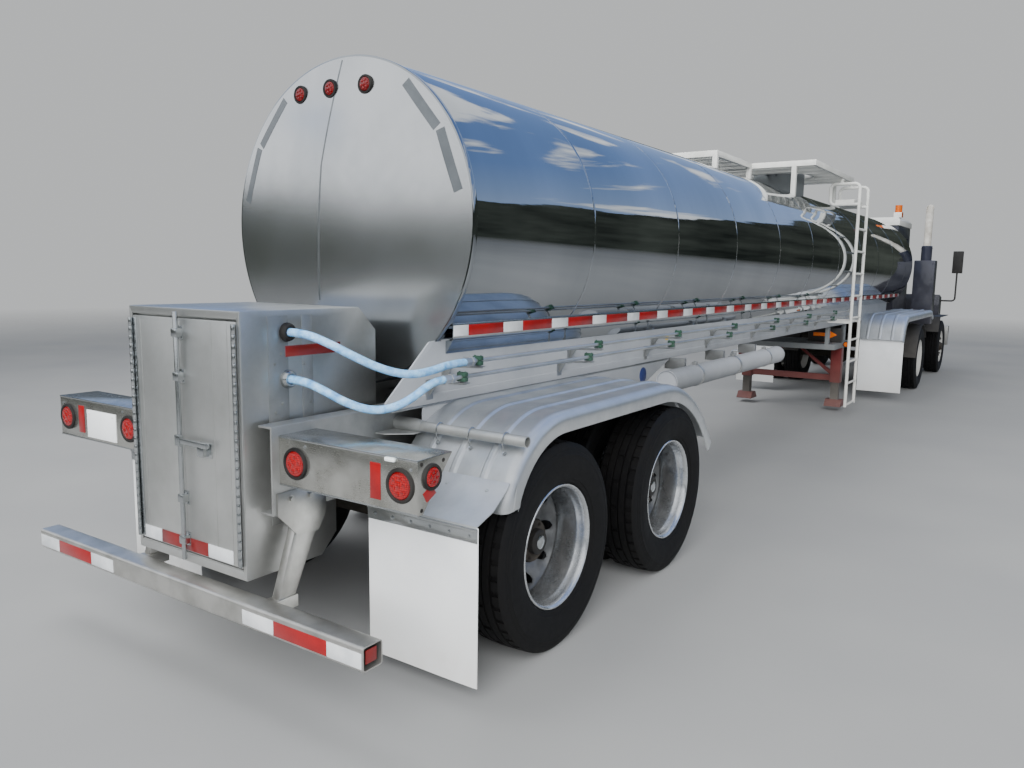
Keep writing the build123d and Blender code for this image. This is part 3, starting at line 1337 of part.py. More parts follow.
# Exhaust: guard box, collar and stack at the right rear of the cab
guard_x, guard_y = (cab_rear_x - 380, cab_rear_x - 80), (-1120.0, -780.0)
guard_top_z = 2110.0
guard = box(guard_x, guard_y, (tractor_rail_top_z + 80, guard_top_z))
guard += box((guard_x[0] + 80, guard_x[1]), (guard_y[0] + 60, -rail_high - seat_gap),
             (tractor_rail_bottom_z + 30, tractor_rail_top_z + 85))
stack_x, stack_y = guard_x[0] + 150, (guard_y[0] + guard_y[1]) / 2
stack = rod((stack_x, stack_y, guard_top_z - 5), (stack_x, stack_y, guard_top_z + 260), 90)
stack += rod((stack_x, stack_y, guard_top_z + 255), (stack_x, stack_y, guard_top_z + 1000), 62)
tip = box((stack_x - 200, stack_x + 200), (stack_y - 200, stack_y + 200), (0, 300))
stack -= Pos(stack_x, stack_y, guard_top_z + 900) * Rot(0, -35, 0) * Pos(-stack_x, -stack_y, 0) * tip
save("exhaust", guard + stack)


# Mirrors on posts, one each side, and side tanks between the axles
def mirror_head():
    """Left mirror with its arm from the cowl's side."""
    x = cab_front_x + 60
    y = half_width + 60
    head = box((x, x + 60), (y - 90, y + 90), (1900, 2330))
    arm = bent_rod([(x + 30, cowl_half_width + seat_gap, 1360), (x + 30, y, 1360), (x + 30, y, 1905)],
                   60.0, 16)
    return head + arm


save("mirrors", both_sides(mirror_head()))
side_tank_x = (drive_axle_x + side_tank_lead, drive_axle_x + side_tank_lead + side_tank_length)
fuel = rod((side_tank_x[0], fuel_tank_y, fuel_tank_z), (side_tank_x[1], fuel_tank_y, fuel_tank_z),
           fuel_tank_radius)
for x in (side_tank_x[0] + 150, side_tank_x[1] - 150 - fuel_tank_bracket):
    fuel += box((x, x + fuel_tank_bracket), (rail_high + seat_gap, fuel_tank_y),
                (fuel_tank_z + 60, fuel_tank_z + 140))
battery = box(side_tank_x, (-battery_box_outer_y, -rail_high - seat_gap), battery_box_z)
save("side_tanks", fuel + battery)
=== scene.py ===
"""Looks of an articulated milk tanker: a polished food tank on a tandem trailer and its terminal tractor.

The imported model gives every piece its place. This file gives the pieces their finish, replaces the plain
solids that need a softer or finer form, and adds the small parts: tapes, lamps, bolts, hinges and treads.
All lengths are metres. x runs forward, y to the lorry's left and z up from the road. In a form x is counted
from the rear bumper's rear face, and its finish moves it to the lorry's own place.
"""

from __future__ import annotations

import json
import logging
import math
from dataclasses import dataclass
from enum import Enum
from functools import partial
from typing import Any, ClassVar, Sequence

import bmesh
import bpy
from mathutils import Matrix, Vector

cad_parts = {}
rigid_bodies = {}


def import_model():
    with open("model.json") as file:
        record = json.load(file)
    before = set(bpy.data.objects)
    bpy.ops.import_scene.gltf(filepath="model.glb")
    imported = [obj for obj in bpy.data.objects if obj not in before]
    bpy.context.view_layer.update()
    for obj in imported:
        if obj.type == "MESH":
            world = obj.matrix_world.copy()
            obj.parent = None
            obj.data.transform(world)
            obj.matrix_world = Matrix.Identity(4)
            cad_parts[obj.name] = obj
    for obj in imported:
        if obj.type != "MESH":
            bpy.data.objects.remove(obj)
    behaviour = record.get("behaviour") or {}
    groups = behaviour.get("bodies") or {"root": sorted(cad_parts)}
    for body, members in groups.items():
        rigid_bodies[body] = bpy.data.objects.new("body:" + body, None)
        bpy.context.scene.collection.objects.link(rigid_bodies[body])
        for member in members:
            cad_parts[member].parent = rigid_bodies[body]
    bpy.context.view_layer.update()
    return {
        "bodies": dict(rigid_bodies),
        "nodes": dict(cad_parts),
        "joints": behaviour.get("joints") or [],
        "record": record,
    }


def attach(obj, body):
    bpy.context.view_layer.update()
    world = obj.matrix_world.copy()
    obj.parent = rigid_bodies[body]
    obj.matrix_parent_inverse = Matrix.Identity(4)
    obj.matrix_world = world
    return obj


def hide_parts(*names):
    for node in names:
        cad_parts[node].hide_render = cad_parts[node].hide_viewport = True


LOG = logging.getLogger("tanker")
MM = 0.001
SHARP_ANGLE = math.radians(34)
FLAT_ANGLE = math.radians(0.6)
WELD_DISTANCE = 1e-5
REAR = -8.3
TANK_AXIS = 2.005
MIRROR = Matrix.Diagonal((1.0, -1.0, 1.0, 1.0))
Pair = tuple[float, float]
Point = tuple[float, float, float]
Node = bpy.types.Node
Source = Node | tuple[Node, str | int]
Settings = dict[str | int, Any]
Links = dict[str | int, Source]
Material = bpy.types.Material
Place = Sequence[float]
SIDES = ((-1, "right"), (1, "left"))


class Body(Enum):
    """The moving groups of the lorry that pieces ride on."""

    TRAILER = "trailer"
    TRACTOR = "tractor"
    LEFT_DOOR = "cabinet_door_left"
    RIGHT_DOOR = "cabinet_door_right"
    LID = "manhole_lid"
    CAB_DOOR = "cab_door"
    REAR_LEFT = "rear_wheel_left"
    REAR_RIGHT = "rear_wheel_right"
    MIDDLE_LEFT = "middle_wheel_left"
    MIDDLE_RIGHT = "middle_wheel_right"
    DRIVE_LEFT = "drive_wheel_left"
    DRIVE_RIGHT = "drive_wheel_right"
    FRONT_LEFT = "front_wheel_left"
    FRONT_RIGHT = "front_wheel_right"
    KNUCKLE_LEFT = "knuckle_left"
    KNUCKLE_RIGHT = "knuckle_right"


class Axis(Enum):
    """Directions of the lorry's frame."""

    X = (1.0, 0.0, 0.0)
    Y = (0.0, 1.0, 0.0)
    Z = (0.0, 0.0, 1.0)


def aimed(direction: Axis | Place) -> Vector:
    """Unit vector of a named axis or of any direction."""
    return Vector(direction.value if isinstance(direction, Axis) else direction).normalized()


def facing(at: Place, direction: Axis | Place) -> Matrix:
    """Matrix that moves a shape drawn along z to a point and turns it in a direction."""
    return Matrix.Translation(Vector(at)) @ aimed(direction).to_track_quat("Z", "Y").to_matrix().to_4x4()


def face_out(part: bmesh.types.BMesh, outward: Axis | Place) -> None:
    """Turn an open part's faces so that its furthest face in a direction looks that way."""
    way = aimed(outward)
    bmesh.ops.recalc_face_normals(part, faces=part.faces)
    if max(part.faces, key=lambda face: face.calc_center_median().dot(way)).normal.dot(way) < 0:
        bmesh.ops.reverse_faces(part, faces=part.faces)


def arc(centre: Pair, radius: float, start: float, stop: float, steps: int) -> list[Pair]:
    """Points of an arc between two angles in degrees, with both ends."""
    angles = [math.radians(start + (stop - start) * step / steps) for step in range(steps + 1)]
    return [(centre[0] + radius * math.cos(angle), centre[1] + radius * math.sin(angle))
            for angle in angles]


def circle(radius: float, count: int, offset: float = 0.0) -> list[Pair]:
    """Evenly spaced points of a circle about the origin, turned on by a share of their spacing."""
    angles = [math.tau * (number + offset) / count for number in range(count)]
    return [(radius * math.cos(angle), radius * math.sin(angle)) for angle in angles]


def linear(hex_colour: str) -> tuple[float, float, float, float]:
    """Turn an sRGB hex colour into the linear colour that the shaders take.

    Args:
        hex_colour: the colour as #rrggbb.

    Returns:
        Linear red, green and blue with an alpha of 1.
    """
    values = []
    for start in (1, 3, 5):
        share = int(hex_colour[start:start + 2], 16) / 255
        values.append(share / 12.92 if share <= 0.04045 else ((share + 0.055) / 1.055) ** 2.4)
    return (values[0], values[1], values[2], 1.0)


def add_node(tree: bpy.types.NodeTree, kind: str, settings: Settings | None = None,
             links: Links | None = None) -> Node:
    """Add a shader node with its settings and links.

    Args:
        tree: the node tree it goes into.
        kind: the node's type name without its ShaderNode prefix.
        settings: values by name: the stops of a ramp, an attribute of the node, or else an input socket.
        links: for each input socket, the node that feeds it, with its output where that isn't the first.

    Returns:
        The new node.
    """
    node = tree.nodes.new("ShaderNode" + kind)
    for name, value in (settings or {}).items():
        if name == "stops":
            elements = node.color_ramp.elements
            while len(elements) < len(value):
                elements.new(0.5)
            for element, (position, colour) in zip(elements, value):
                element.position, element.color = position, linear(colour)
        elif isinstance(name, str) and hasattr(node, name):
            setattr(node, name, value)
        else:
            node.inputs[name].default_value = value
    for name, source in (links or {}).items():
        origin, output = source if isinstance(source, tuple) else (source, 0)
        tree.links.new(origin.outputs[output], node.inputs[name])
    return node


class Surface:
    """A new material with its principled shader, ready for nodes."""

    def __init__(self, name: str, **sockets: Any) -> None:
        """Start the material.

        Args:
            name: the material's name.
            sockets: uniform values for the shader, with underscores for spaces.
        """
        self.material = bpy.data.materials.new(name)
        self.material.use_nodes = True
        self.tree = self.material.node_tree
        self.tree.nodes.clear()
        output = add_node(self.tree, "OutputMaterial")
        self.shader = add_node(self.tree, "BsdfPrincipled")
        self.tree.links.new(self.shader.outputs[0], output.inputs[0])
        for key, value in sockets.items():
            self.shader.inputs[key.replace("_", " ")].default_value = value
        self.place = (add_node(self.tree, "TexCoord"), "Object")

    def add(self, kind: str, settings: Settings | None = None, links: Links | None = None) -> Node:
        """Add a node to this material; a pattern without a link lies in the object's own coordinates."""
        links = dict(links or {})
        if kind in ("Mapping", "TexNoise", "TexVoronoi", "TexWave"):
            links.setdefault("Vector", self.place)
        return add_node(self.tree, kind, settings, links)

    def dress(self, **layers: Source) -> Material:
        """Link finished layers to the shader's sockets.

        Args:
            layers: the node that feeds each socket, with underscores for spaces in the socket's name.

        Returns:
            The material.
        """
        for key, source in layers.items():
            origin, output = source if isinstance(source, tuple) else (source, 0)
            self.tree.links.new(origin.outputs[output], self.shader.inputs[key.replace("_", " ")])
        return self.material

    def road_film(self, cloud: Node, low: float, high: float, share: float) -> Node:
        """Share of dust over a surface: blotchy, full at a low height and gone at a high one."""
        split = self.add("SeparateXYZ", None, {0: self.place})
        fall = self.add("MapRange", {"From Min": low, "From Max": high, "To Min": 1.0, "To Max": 0.0},
                        {"Value": (split, "Z")})
        patchy = self.add("Math", {"operation": "MULTIPLY"}, {0: fall, 1: cloud})
        return self.add("Math", {"operation": "MULTIPLY", 1: 1.8 * share, "use_clamp": True}, {0: patchy})


@dataclass(frozen=True)
class Metal:
    """Bare or polished sheet metal: a worked grain, slow smudges and, low down, a film of grey road dust.

    The grain is a noise drawn out along the direction in which the sheet was brushed or rolled. It is drawn
    coarser than the real scratches, which are too fine to show. Dents are the slow waves of thin sheet.
    """

    name: str
    colour: str
    shade: str
    roughness: float = 0.3
    spread: float = 0.12
    grain: float = 2.0 * MM
    stretch: Point = (1.0, 1.0, 1.0)
    grain_depth: float = 0.02 * MM
    smudge: float = 0.35
    dirt: str = "#6d675d"
    dirt_low: float = 0.0
    dirt_high: float = 0.9
    dirt_share: float = 0.0
    dents: float = 0.0
    dent_size: float = 0.5

    def build(self) -> Material:
        """Make the material."""
        skin = Surface(self.name, Metallic=1.0)
        cloud = skin.add("TexNoise", {"Scale": 1 / self.smudge, "Detail": 5.0, "Roughness": 0.62})
        tone = skin.add("ValToRGB", {"stops": ((0.32, self.shade), (0.62, self.colour))}, {0: cloud})
        drawn = skin.add("Mapping", {"Scale": self.stretch})
        grain = skin.add("TexNoise", {"Scale": 1 / self.grain, "Detail": 2.0}, {"Vector": drawn})
        rough = skin.add("MapRange", {"From Min": 0.3, "From Max": 0.7, "To Min": self.roughness +
                self.spread, "To Max": self.roughness - self.spread / 3}, {"Value": cloud})
        fine = skin.add("MapRange", {"From Min": 0.3, "From Max": 0.7, "To Min": -self.spread / 3,
                "To Max": self.spread / 3}, {"Value": grain})
        gloss = skin.add("Math", {"operation": "ADD"}, {0: rough, 1: fine})
        waves = skin.add("TexNoise", {"Scale": 1 / self.dent_size, "Detail": 1.0})
        under = skin.add("Bump", {"Distance": self.dents}, {"Height": waves})
        relief = skin.add("Bump", {"Distance": self.grain_depth}, {"Height": grain, "Normal": under})
        if self.dirt_share == 0:
            return skin.dress(Base_Color=tone, Roughness=gloss, Normal=relief)
        film = skin.road_film(cloud, self.dirt_low, self.dirt_high, self.dirt_share)
        dusty = skin.add("Mix", {"data_type": "RGBA", 7: linear(self.dirt)}, {0: film, 6: tone})
        bare = skin.add("MapRange", {"To Min": 1.0, "To Max": 0.2}, {"Value": film})
        dull = skin.add("Math", {"operation": "MULTIPLY_ADD", 1: 0.4}, {0: film, 2: gloss})
        return skin.dress(Base_Color=(dusty, 2), Roughness=dull, Metallic=bare, Normal=relief)


@dataclass(frozen=True)
class Paint:
    """Enamel or moulded plastic: an even colour that weathers in blotches, chips on it and dust low down."""

    name: str
    colour: str
    shade: str
    roughness: float = 0.35
    spread: float = 0.12
    coat: float = 0.0
    blotch: float = 0.4
    peel: float = 3.0 * MM
    peel_depth: float = 0.03 * MM
    chip: str = "#6b4a37"
    chip_share: float = 0.0
    dirt: str = "#75706a"
    dirt_low: float = 0.0
    dirt_high: float = 1.0
    dirt_share: float = 0.25

    def build(self) -> Material:
        """Make the material."""
        skin = Surface(self.name, Coat_Weight=self.coat, Coat_Roughness=0.08)
        cloud = skin.add("TexNoise", {"Scale": 1 / self.blotch, "Detail": 6.0, "Roughness": 0.6})
        tone = skin.add("ValToRGB", {"stops": ((0.35, self.shade), (0.65, self.colour))}, {0: cloud})
        film = skin.road_film(cloud, self.dirt_low, self.dirt_high, self.dirt_share)
        colour = skin.add("Mix", {"data_type": "RGBA", 7: linear(self.dirt)}, {0: film, 6: tone})
        if self.chip_share > 0:
            specks = skin.add("TexNoise", {"Scale": 1 / 0.03, "Detail": 8.0, "Roughness": 0.7})
            edge = 0.5 + 0.28 * (1 - self.chip_share)
            chips = skin.add("MapRange", {"From Min": edge, "From Max": edge + 0.03}, {"Value": specks})
            colour = skin.add("Mix", {"data_type": "RGBA", 7: linear(self.chip)},
                    {0: chips, 6: (colour, 2)})
        rough = skin.add("MapRange", {"From Min": 0.3, "From Max": 0.7, "To Min": self.roughness +
                self.spread, "To Max": self.roughness - self.spread / 2}, {"Value": cloud})
        dull = skin.add("Math", {"operation": "MULTIPLY_ADD", 1: 0.5}, {0: film, 2: rough})
        peel = skin.add("TexNoise", {"Scale": 1 / self.peel, "Detail": 2.0})
        relief = skin.add("Bump", {"Distance": self.peel_depth}, {"Height": peel})
        return skin.dress(Base_Color=(colour, 2), Roughness=dull, Normal=relief)


@dataclass(frozen=True)
class Rubber:
    """Tyre or seal rubber: near black, dulled by grey dust that gathers on its rough skin."""

    name: str
    colour: str = "#121213"
    dust: str = "#5c5852"
    dust_share: float = 0.35
    roughness: float = 0.62

    def build(self) -> Material:
        """Make the material."""
        skin = Surface(self.name, Specular_IOR_Level=0.35)
        cloud = skin.add("TexNoise", {"Scale": 1 / 0.22, "Detail": 7.0, "Roughness": 0.68})
        edge = 0.75 - 0.5 * self.dust_share
        tone = skin.add("ValToRGB", {"stops": ((edge - 0.3, self.colour), (edge + 0.32, self.dust))},
                        {0: cloud})
        rough = skin.add("MapRange", {"From Min": 0.3, "From Max": 0.7, "To Min": self.roughness - 0.1,
                "To Max": self.roughness + 0.2}, {"Value": cloud})
        pores = skin.add("TexNoise", {"Scale": 1 / (2.5 * MM), "Detail": 3.0})
        relief = skin.add("Bump", {"Distance": 0.15 * MM}, {"Height": pores})
        return skin.dress(Base_Color=tone, Roughness=rough, Normal=relief)


@dataclass(frozen=True)
class TankJacket:
    """Mirror-polished stainless jacket: faint ring marks from the buffing wheel and a slow waviness."""

    name: str = "polished_jacket"
    colour: str = "#b4b8bc"
    shade: str = "#9ea3a7"

    def build(self) -> Material:
        """Make the material."""
        skin = Surface(self.name, Metallic=1.0)
        long_way = skin.add("Mapping", {"Scale": (1.0, 0.25, 0.25)})
        streaks = skin.add("TexNoise", {"Scale": 1 / 0.9, "Detail": 4.0}, {"Vector": long_way})
        tone = skin.add("ValToRGB", {"stops": ((0.3, self.shade), (0.6, self.colour))}, {0: streaks})
        round_way = skin.add("Mapping", {"Scale": (1.0, 0.015, 0.015)})
        rings = skin.add("TexNoise", {"Scale": 1 / (6 * MM), "Detail": 3.0, "Roughness": 0.7},
                         {"Vector": round_way})
        haze = skin.add("MapRange", {"From Min": 0.35, "From Max": 0.75, "To Min": 0.015, "To Max": 0.06},
                        {"Value": streaks})
        fine = skin.add("MapRange", {"From Min": 0.3, "From Max": 0.7, "To Min": -0.01, "To Max": 0.02},
                        {"Value": rings})
        gloss = skin.add("Math", {"operation": "ADD"}, {0: haze, 1: fine})
        slow = skin.add("Mapping", {"Scale": (1.0, 0.5, 0.5)})
        waves = skin.add("TexNoise", {"Scale": 1 / 0.62, "Detail": 1.5}, {"Vector": slow})
        under = skin.add("Bump", {"Distance": 1.6 * MM}, {"Height": waves})
        relief = skin.add("Bump", {"Distance": 0.01 * MM}, {"Height": rings, "Normal": under})
        return skin.dress(Base_Color=tone, Roughness=gloss, Normal=relief)


@dataclass(frozen=True)
class ReflectiveTape:
    """Prismatic tape: a lattice of sealed cells under a glossy film, faded and dusty."""

    name: str
    colour: str
    shade: str
    cell: float = 7.0 * MM

    def build(self) -> Material:
        """Make the material."""
        skin = Surface(self.name, Metallic=0.25, Roughness=0.28, Coat_Weight=0.5, Coat_Roughness=0.12)
        cells = skin.add("TexVoronoi", {"feature": "DISTANCE_TO_EDGE", "Scale": 1 / self.cell,
                "Randomness": 0.0})
        seams = skin.add("MapRange", {"From Min": 0.02, "From Max": 0.1}, {"Value": cells})
        share = skin.add("MapRange", {"To Min": 0.45, "To Max": 0.0}, {"Value": seams})
        dull = skin.add("TexNoise", {"Scale": 1 / 0.12, "Detail": 6.0, "Roughness": 0.65})
        fade = skin.add("ValToRGB", {"stops": ((0.3, self.shade), (0.62, self.colour))}, {0: dull})
        colour = skin.add("Mix", {"data_type": "RGBA", 7: linear(self.shade)}, {0: share, 6: fade})
        relief = skin.add("Bump", {"Distance": 0.08 * MM}, {"Height": seams})
        return skin.dress(Base_Color=(colour, 2), Normal=relief)


@dataclass(frozen=True)
class Lens:
    """Moulded acrylic lamp lens: clear colour over a fine grid of prisms, slightly lit from inside."""

    name: str
    colour: str
    deep: str
    prism: float = 8.0 * MM
    glow: float = 0.1

    def build(self) -> Material:
        """Make the material."""
        skin = Surface(self.name, Roughness=0.12, IOR=1.49, Coat_Weight=0.6, Coat_Roughness=0.04,
                       Emission_Strength=self.glow)
        prisms = skin.add("TexVoronoi", {"Scale": 1 / self.prism, "Randomness": 0.15})
        tone = skin.add("ValToRGB", {"stops": ((0.15, self.colour), (0.62, self.deep))}, {0: prisms})
        relief = skin.add("Bump", {"Distance": 0.8 * MM}, {"Height": prisms})
        return skin.dress(Base_Color=tone, Emission_Color=tone, Normal=relief)


@dataclass(frozen=True)
class Glass:
    """Safety glass with a film of dust; its dark olive colour is painted shade of the cab's inside, seen
    through it.
    """

    name: str = "cab_glass"
    painted_inside_shade: str = "#1a2320"

    def build(self) -> Material:
        """Make the material."""
        skin = Surface(self.name, IOR=1.5, Transmission_Weight=0.35, Specular_IOR_Level=0.8)
        film = skin.add("TexNoise", {"Scale": 1 / 0.25, "Detail": 6.0, "Roughness": 0.65})
        # the dark olive stops are painted shade of the cab's inside; the noise between them is the film of
        # dust
        tone = skin.add("ValToRGB", {"stops": ((0.35, self.painted_inside_shade), (0.75, "#33403c"))}, {0: film})
        haze = skin.add("MapRange", {"From Min": 0.35, "From Max": 0.75, "To Min": 0.03, "To Max": 0.14},
                        {"Value": film})
        return skin.dress(Base_Color=tone, Roughness=haze)


@dataclass(frozen=True)
class HoseVinyl:
    """Light blue food hose: smooth vinyl over a braid that shows as a faint spiral, with scuffs."""

    name: str = "hose_vinyl"
    colour: str = "#86b6dd"
    shade: str = "#4d88bd"

    def build(self) -> Material:
        """Make the material."""
        skin = Surface(self.name, IOR=1.5, Coat_Weight=0.35, Coat_Roughness=0.2, Subsurface_Weight=0.15,
                       Subsurface_Scale=0.01)
        scuff = skin.add("TexNoise", {"Scale": 1 / 0.035, "Detail": 6.0, "Roughness": 0.7})
        tone = skin.add("ValToRGB", {"stops": ((0.33, self.shade), (0.58, self.colour), (0.8, "#b4d0e6"))},
                        {0: scuff})
        rough = skin.add("MapRange", {"From Min": 0.3, "From Max": 0.7, "To Min": 0.26, "To Max": 0.5},
                         {"Value": scuff})
        braid = skin.add("TexWave", {"Scale": 60.0, "Distortion": 1.0, "bands_direction": "DIAGONAL"})
        relief = skin.add("Bump", {"Distance": 0.25 * MM}, {"Height": braid})
        return skin.dress(Base_Color=tone, Roughness=rough, Normal=relief)


ROAD_FINISHES = (
    # polished jacket: a mirror with long soft waves and fine grinding rings
    TankJacket(),
    # heads: brushed steel that blurs what it mirrors
    Metal("satin_head", "#dcdedf", "#d0d3d5", 0.21, 0.04, 1.6 * MM, (1.0, 1.0, 0.04), 0.03 * MM, 0.45,
          dents=1.0 * MM, dent_size=0.9),
    # dressed weld: a duller line on the bright head
    Metal("weld_steel", "#a4a8aa", "#8f9496", 0.42, 0.1, 3.0 * MM, (1.0, 1.0, 0.2), 0.05 * MM, 0.06),
    # cabinet walls: brushed sheet, slightly dented, dusty low down
    Metal("cabinet_sheet", "#d6d7d5", "#c3c4c1", 0.32, 0.1, 1.5 * MM, (1.0, 1.0, 0.05), 0.03 * MM, 0.25,
          "#6d675d", 0.35, 1.5, 0.15, dents=1.2 * MM, dent_size=0.35),
    # doors and strips: paler brushed sheet with a soft sheen
    Metal("door_sheet", "#dcdddb", "#cbccc9", 0.4, 0.08, 1.5 * MM, (1.0, 1.0, 0.05), 0.03 * MM, 0.3,
          "#6d675d", 0.4, 1.6, 0.15),
    # frames: dull steel under road dust
    Metal("frame_steel", "#bcbebd", "#a2a4a3", 0.42, 0.12, 2.2 * MM, (0.15, 1.0, 1.0), 0.04 * MM, 0.2,
          "#736d63", 0.0, 1.6, 0.45),
    # gussets and straps: drawn steel with streaks along it
    Metal("rail_steel", "#c4c6c6", "#adafaf", 0.38, 0.12, 2.2 * MM, (0.06, 1.0, 1.0), 0.04 * MM, 0.35,
          "#7a756b", 0.6, 1.7, 0.35),
    # lamp boxes: bright stainless, dented, with dull patches
    Metal("lamp_box_steel", "#c6c6c1", "#a9a8a1", 0.18, 0.08, 1.5 * MM, (1.0, 0.06, 1.0), 0.03 * MM, 0.12,
          "#6d675d", 0.4, 1.3, 0.3, dents=0.8 * MM, dent_size=0.2),
    # bumper: long brushed streaks under a thin film of dirt
    Metal("bumper_steel", "#d2d1cd", "#b9b8b3", 0.28, 0.1, 1.5 * MM, (1.0, 0.03, 1.0), 0.03 * MM, 0.15,
          "#7d786e", 0.0, 0.8, 0.25),
    # hinges, bolts and trim: small clean glints
    Metal("bright_steel", "#c9cccd", "#aeb2b3", 0.18, 0.1, 1.2 * MM),
    # exhaust stack: bare tube dulled by heat, without a mirror
    Paint("stack_steel", "#cfcdc7", "#a8a49c", 0.4, blotch=0.12, dirt_share=0.0),
    # fenders: pale aluminium, softly dented, dusty below
    Metal("fender_sheet", "#e6e9eb", "#d0d4d7", 0.36, 0.12, 3.0 * MM, (0.05, 1.0, 1.0), 0.05 * MM, 0.22,
          "#77736b", 0.7, 1.5, 0.12, dents=2.0 * MM, dent_size=0.3),
    # ladder and walkway: old aluminium whose milky oxide hides its gloss
    Paint("ladder_tube", "#d9dad6", "#c3c4c0", 0.5, blotch=0.3, dirt="#8a877f", dirt_low=0.0, dirt_high=2.5,
          dirt_share=0.3),
    # cleaning lines and pipes: thin bright tubes, a little dusty
    Metal("pipe_steel", "#d9dbda", "#bcbfbe", 0.34, 0.1, 1.5 * MM, dirt="#77726a", dirt_low=0.5,
          dirt_high=1.6, dirt_share=0.4),
    # wheel barrels: the bright ring in each wheel
    Metal("wheel_alloy", "#dfe1e3", "#c9cccf", 0.17, 0.12, 1.5 * MM, (1.0, 0.15, 1.0), 0.02 * MM, 0.1,
          "#7a766e", 0.0, 1.1, 0.12),
    # wheel discs: darker and greasy from the hub
    Metal("disc_alloy", "#77797b", "#5b5d5f", 0.24, 0.12, 2.0 * MM, smudge=0.09, dirt="#5f5a52",
          dirt_low=0.0, dirt_high=1.1, dirt_share=0.3),
    # side tanks: dull alloy, dirtier towards the ground
    Metal("side_alloy", "#a9abac", "#8d8f90", 0.35, 0.12, 2.0 * MM, dirt="#5f5a52", dirt_low=0.2,
          dirt_high=1.1, dirt_share=0.5),
    # hubs and drums: dark rough iron with brown dust
    Metal("hub_iron", "#4b4b4a", "#353433", 0.55, 0.12, 3.0 * MM, smudge=0.06, dirt="#5b5145", dirt_low=0.0,
          dirt_high=1.0, dirt_share=0.8),
    # axles and tractor frame: near black, lifted by dust
    Metal("black_steel", "#232425", "#161617", 0.55, 0.12, 3.0 * MM, smudge=0.2, dirt="#59544b",
          dirt_low=0.0, dirt_high=1.3, dirt_share=0.9),
    # engine: oily grey-brown cast iron
    Metal("engine_iron", "#4a4a48", "#34332f", 0.6, 0.12, 4.0 * MM, dirt="#4f463a", dirt_low=0.4,
          dirt_high=1.3, dirt_share=0.9),
    # side rails: even grey without reflections
    Paint("rail_enamel", "#999ea5", "#898e94", 0.4, dirt_low=0.8, dirt_high=1.6, dirt_share=0.35),
    # landing legs: deep red, chipped to a dark brown
    Paint("leg_red", "#640c0e", "#4b0a0c", 0.42, chip="#4a3a30", chip_share=0.25, dirt_low=0.0,
          dirt_high=0.9, dirt_share=0.45),
    # feet of the legs: black with rusty chips
    Paint("leg_black", "#1d1e1f", "#131314", 0.5, chip="#5d4636", chip_share=0.3, dirt_high=0.9,
          dirt_share=0.6),
    # cab: dark blue with sharp highlights from its clear coat
    Paint("cab_navy", "#141c33", "#0e1526", 0.3, coat=0.7, dirt_low=0.8, dirt_high=3.2, dirt_share=0.22),
    # cab roof: clean white with a light gloss
    Paint("roof_white", "#e6e7e5", "#d3d4d1", 0.35, coat=0.4, dirt_low=2.0, dirt_high=3.3, dirt_share=0.18),
    # painted wheels: white with rusty chips and brake dust
    Paint("wheel_white", "#dedfdc", "#c2c2bd", 0.38, chip="#7c5a44", chip_share=0.12, dirt="#4c473f",
          dirt_high=1.05, dirt_share=0.75),
    # mud flaps: matt white, splashed grey at the foot
    Paint("flap_white", "#e4e7e9", "#d5d8da", 0.48, blotch=0.25, dirt="#8a857b", dirt_low=0.1,
          dirt_high=0.75, dirt_share=0.45),
    # tractor fenders: dusty black plastic
    Paint("guard_black", "#17191c", "#0f1012", 0.5, dirt_high=1.3, dirt_share=0.5),
    # mirrors and lamp housings: plain black plastic
    Paint("moulded_black", "#1a1b1d", "#121314", 0.48, dirt_high=3.0, dirt_share=0.25),
    # inside of the cab: dark soft vinyl
    Paint("seat_vinyl", "#2a2b2e", "#202124", 0.6, dirt_high=3.0, dirt_share=0.15),
    # clamps of the lines: small dark green blocks
    Paint("clamp_green", "#0e3f30", "#0a3024", 0.42, dirt_low=0.8, dirt_high=1.6, dirt_share=0.3),
    # round blank sticker: flat blue
    Paint("label_blue", "#23346e", "#1b2857", 0.4, dirt_high=1.6, dirt_share=0.15),
    # square blank sticker: faded yellow
    Paint("label_yellow", "#d8b93a", "#b99a2a", 0.45, dirt_high=1.6, dirt_share=0.2),
    # deck and manhole neck: matt grey
    Paint("cover_grey", "#6f7476", "#62676a", 0.55, dirt_high=3.0, dirt_share=0.2),
    # white tape: a lattice of cells that shines under film
    ReflectiveTape("tape_white", "#dfe2e4", "#bdc2c6"),
    # red tape: the same lattice in a strong red
    ReflectiveTape("tape_red", "#9c0d13", "#7b0b0f"),
    # red tape that dirt has dulled
    ReflectiveTape("tape_dull_red", "#7d1c1c", "#5c1817"),
    # grey strips of the rear head
    ReflectiveTape("tape_grey", "#54595d", "#464b4f"),
    # tail lamps: red prisms with a faint glow
    Lens("lens_red", "#a0080b", "#5c0406", glow=0.02),
    # markers of the head: dark unlit red
    Lens("lens_deep_red", "#740a0c", "#4a0506", glow=0.0),
    # arrow and markers: strong amber
    Lens("lens_amber", "#f07a12", "#b34d08"),
    # licence lamp and headlamps: clear prisms
    Lens("lens_clear", "#e9eeee", "#c9d2d2", glow=0.02),
    # tyres: black, with pale dust on what stands out
    Rubber("tyre_rubber", "#060607", "#171615", 0.25, 0.7),
    # grommets and seals: dark rubber, greying
    Rubber("seal_rubber", "#0d0d0e", "#3c3a37", 0.2, 0.5),
    # cab glass: mirrors the sky; its dark olive colour is painted shade of the cab's inside
    Glass(),
    # hoses: light blue vinyl with a faint braid
    HoseVinyl(),
)


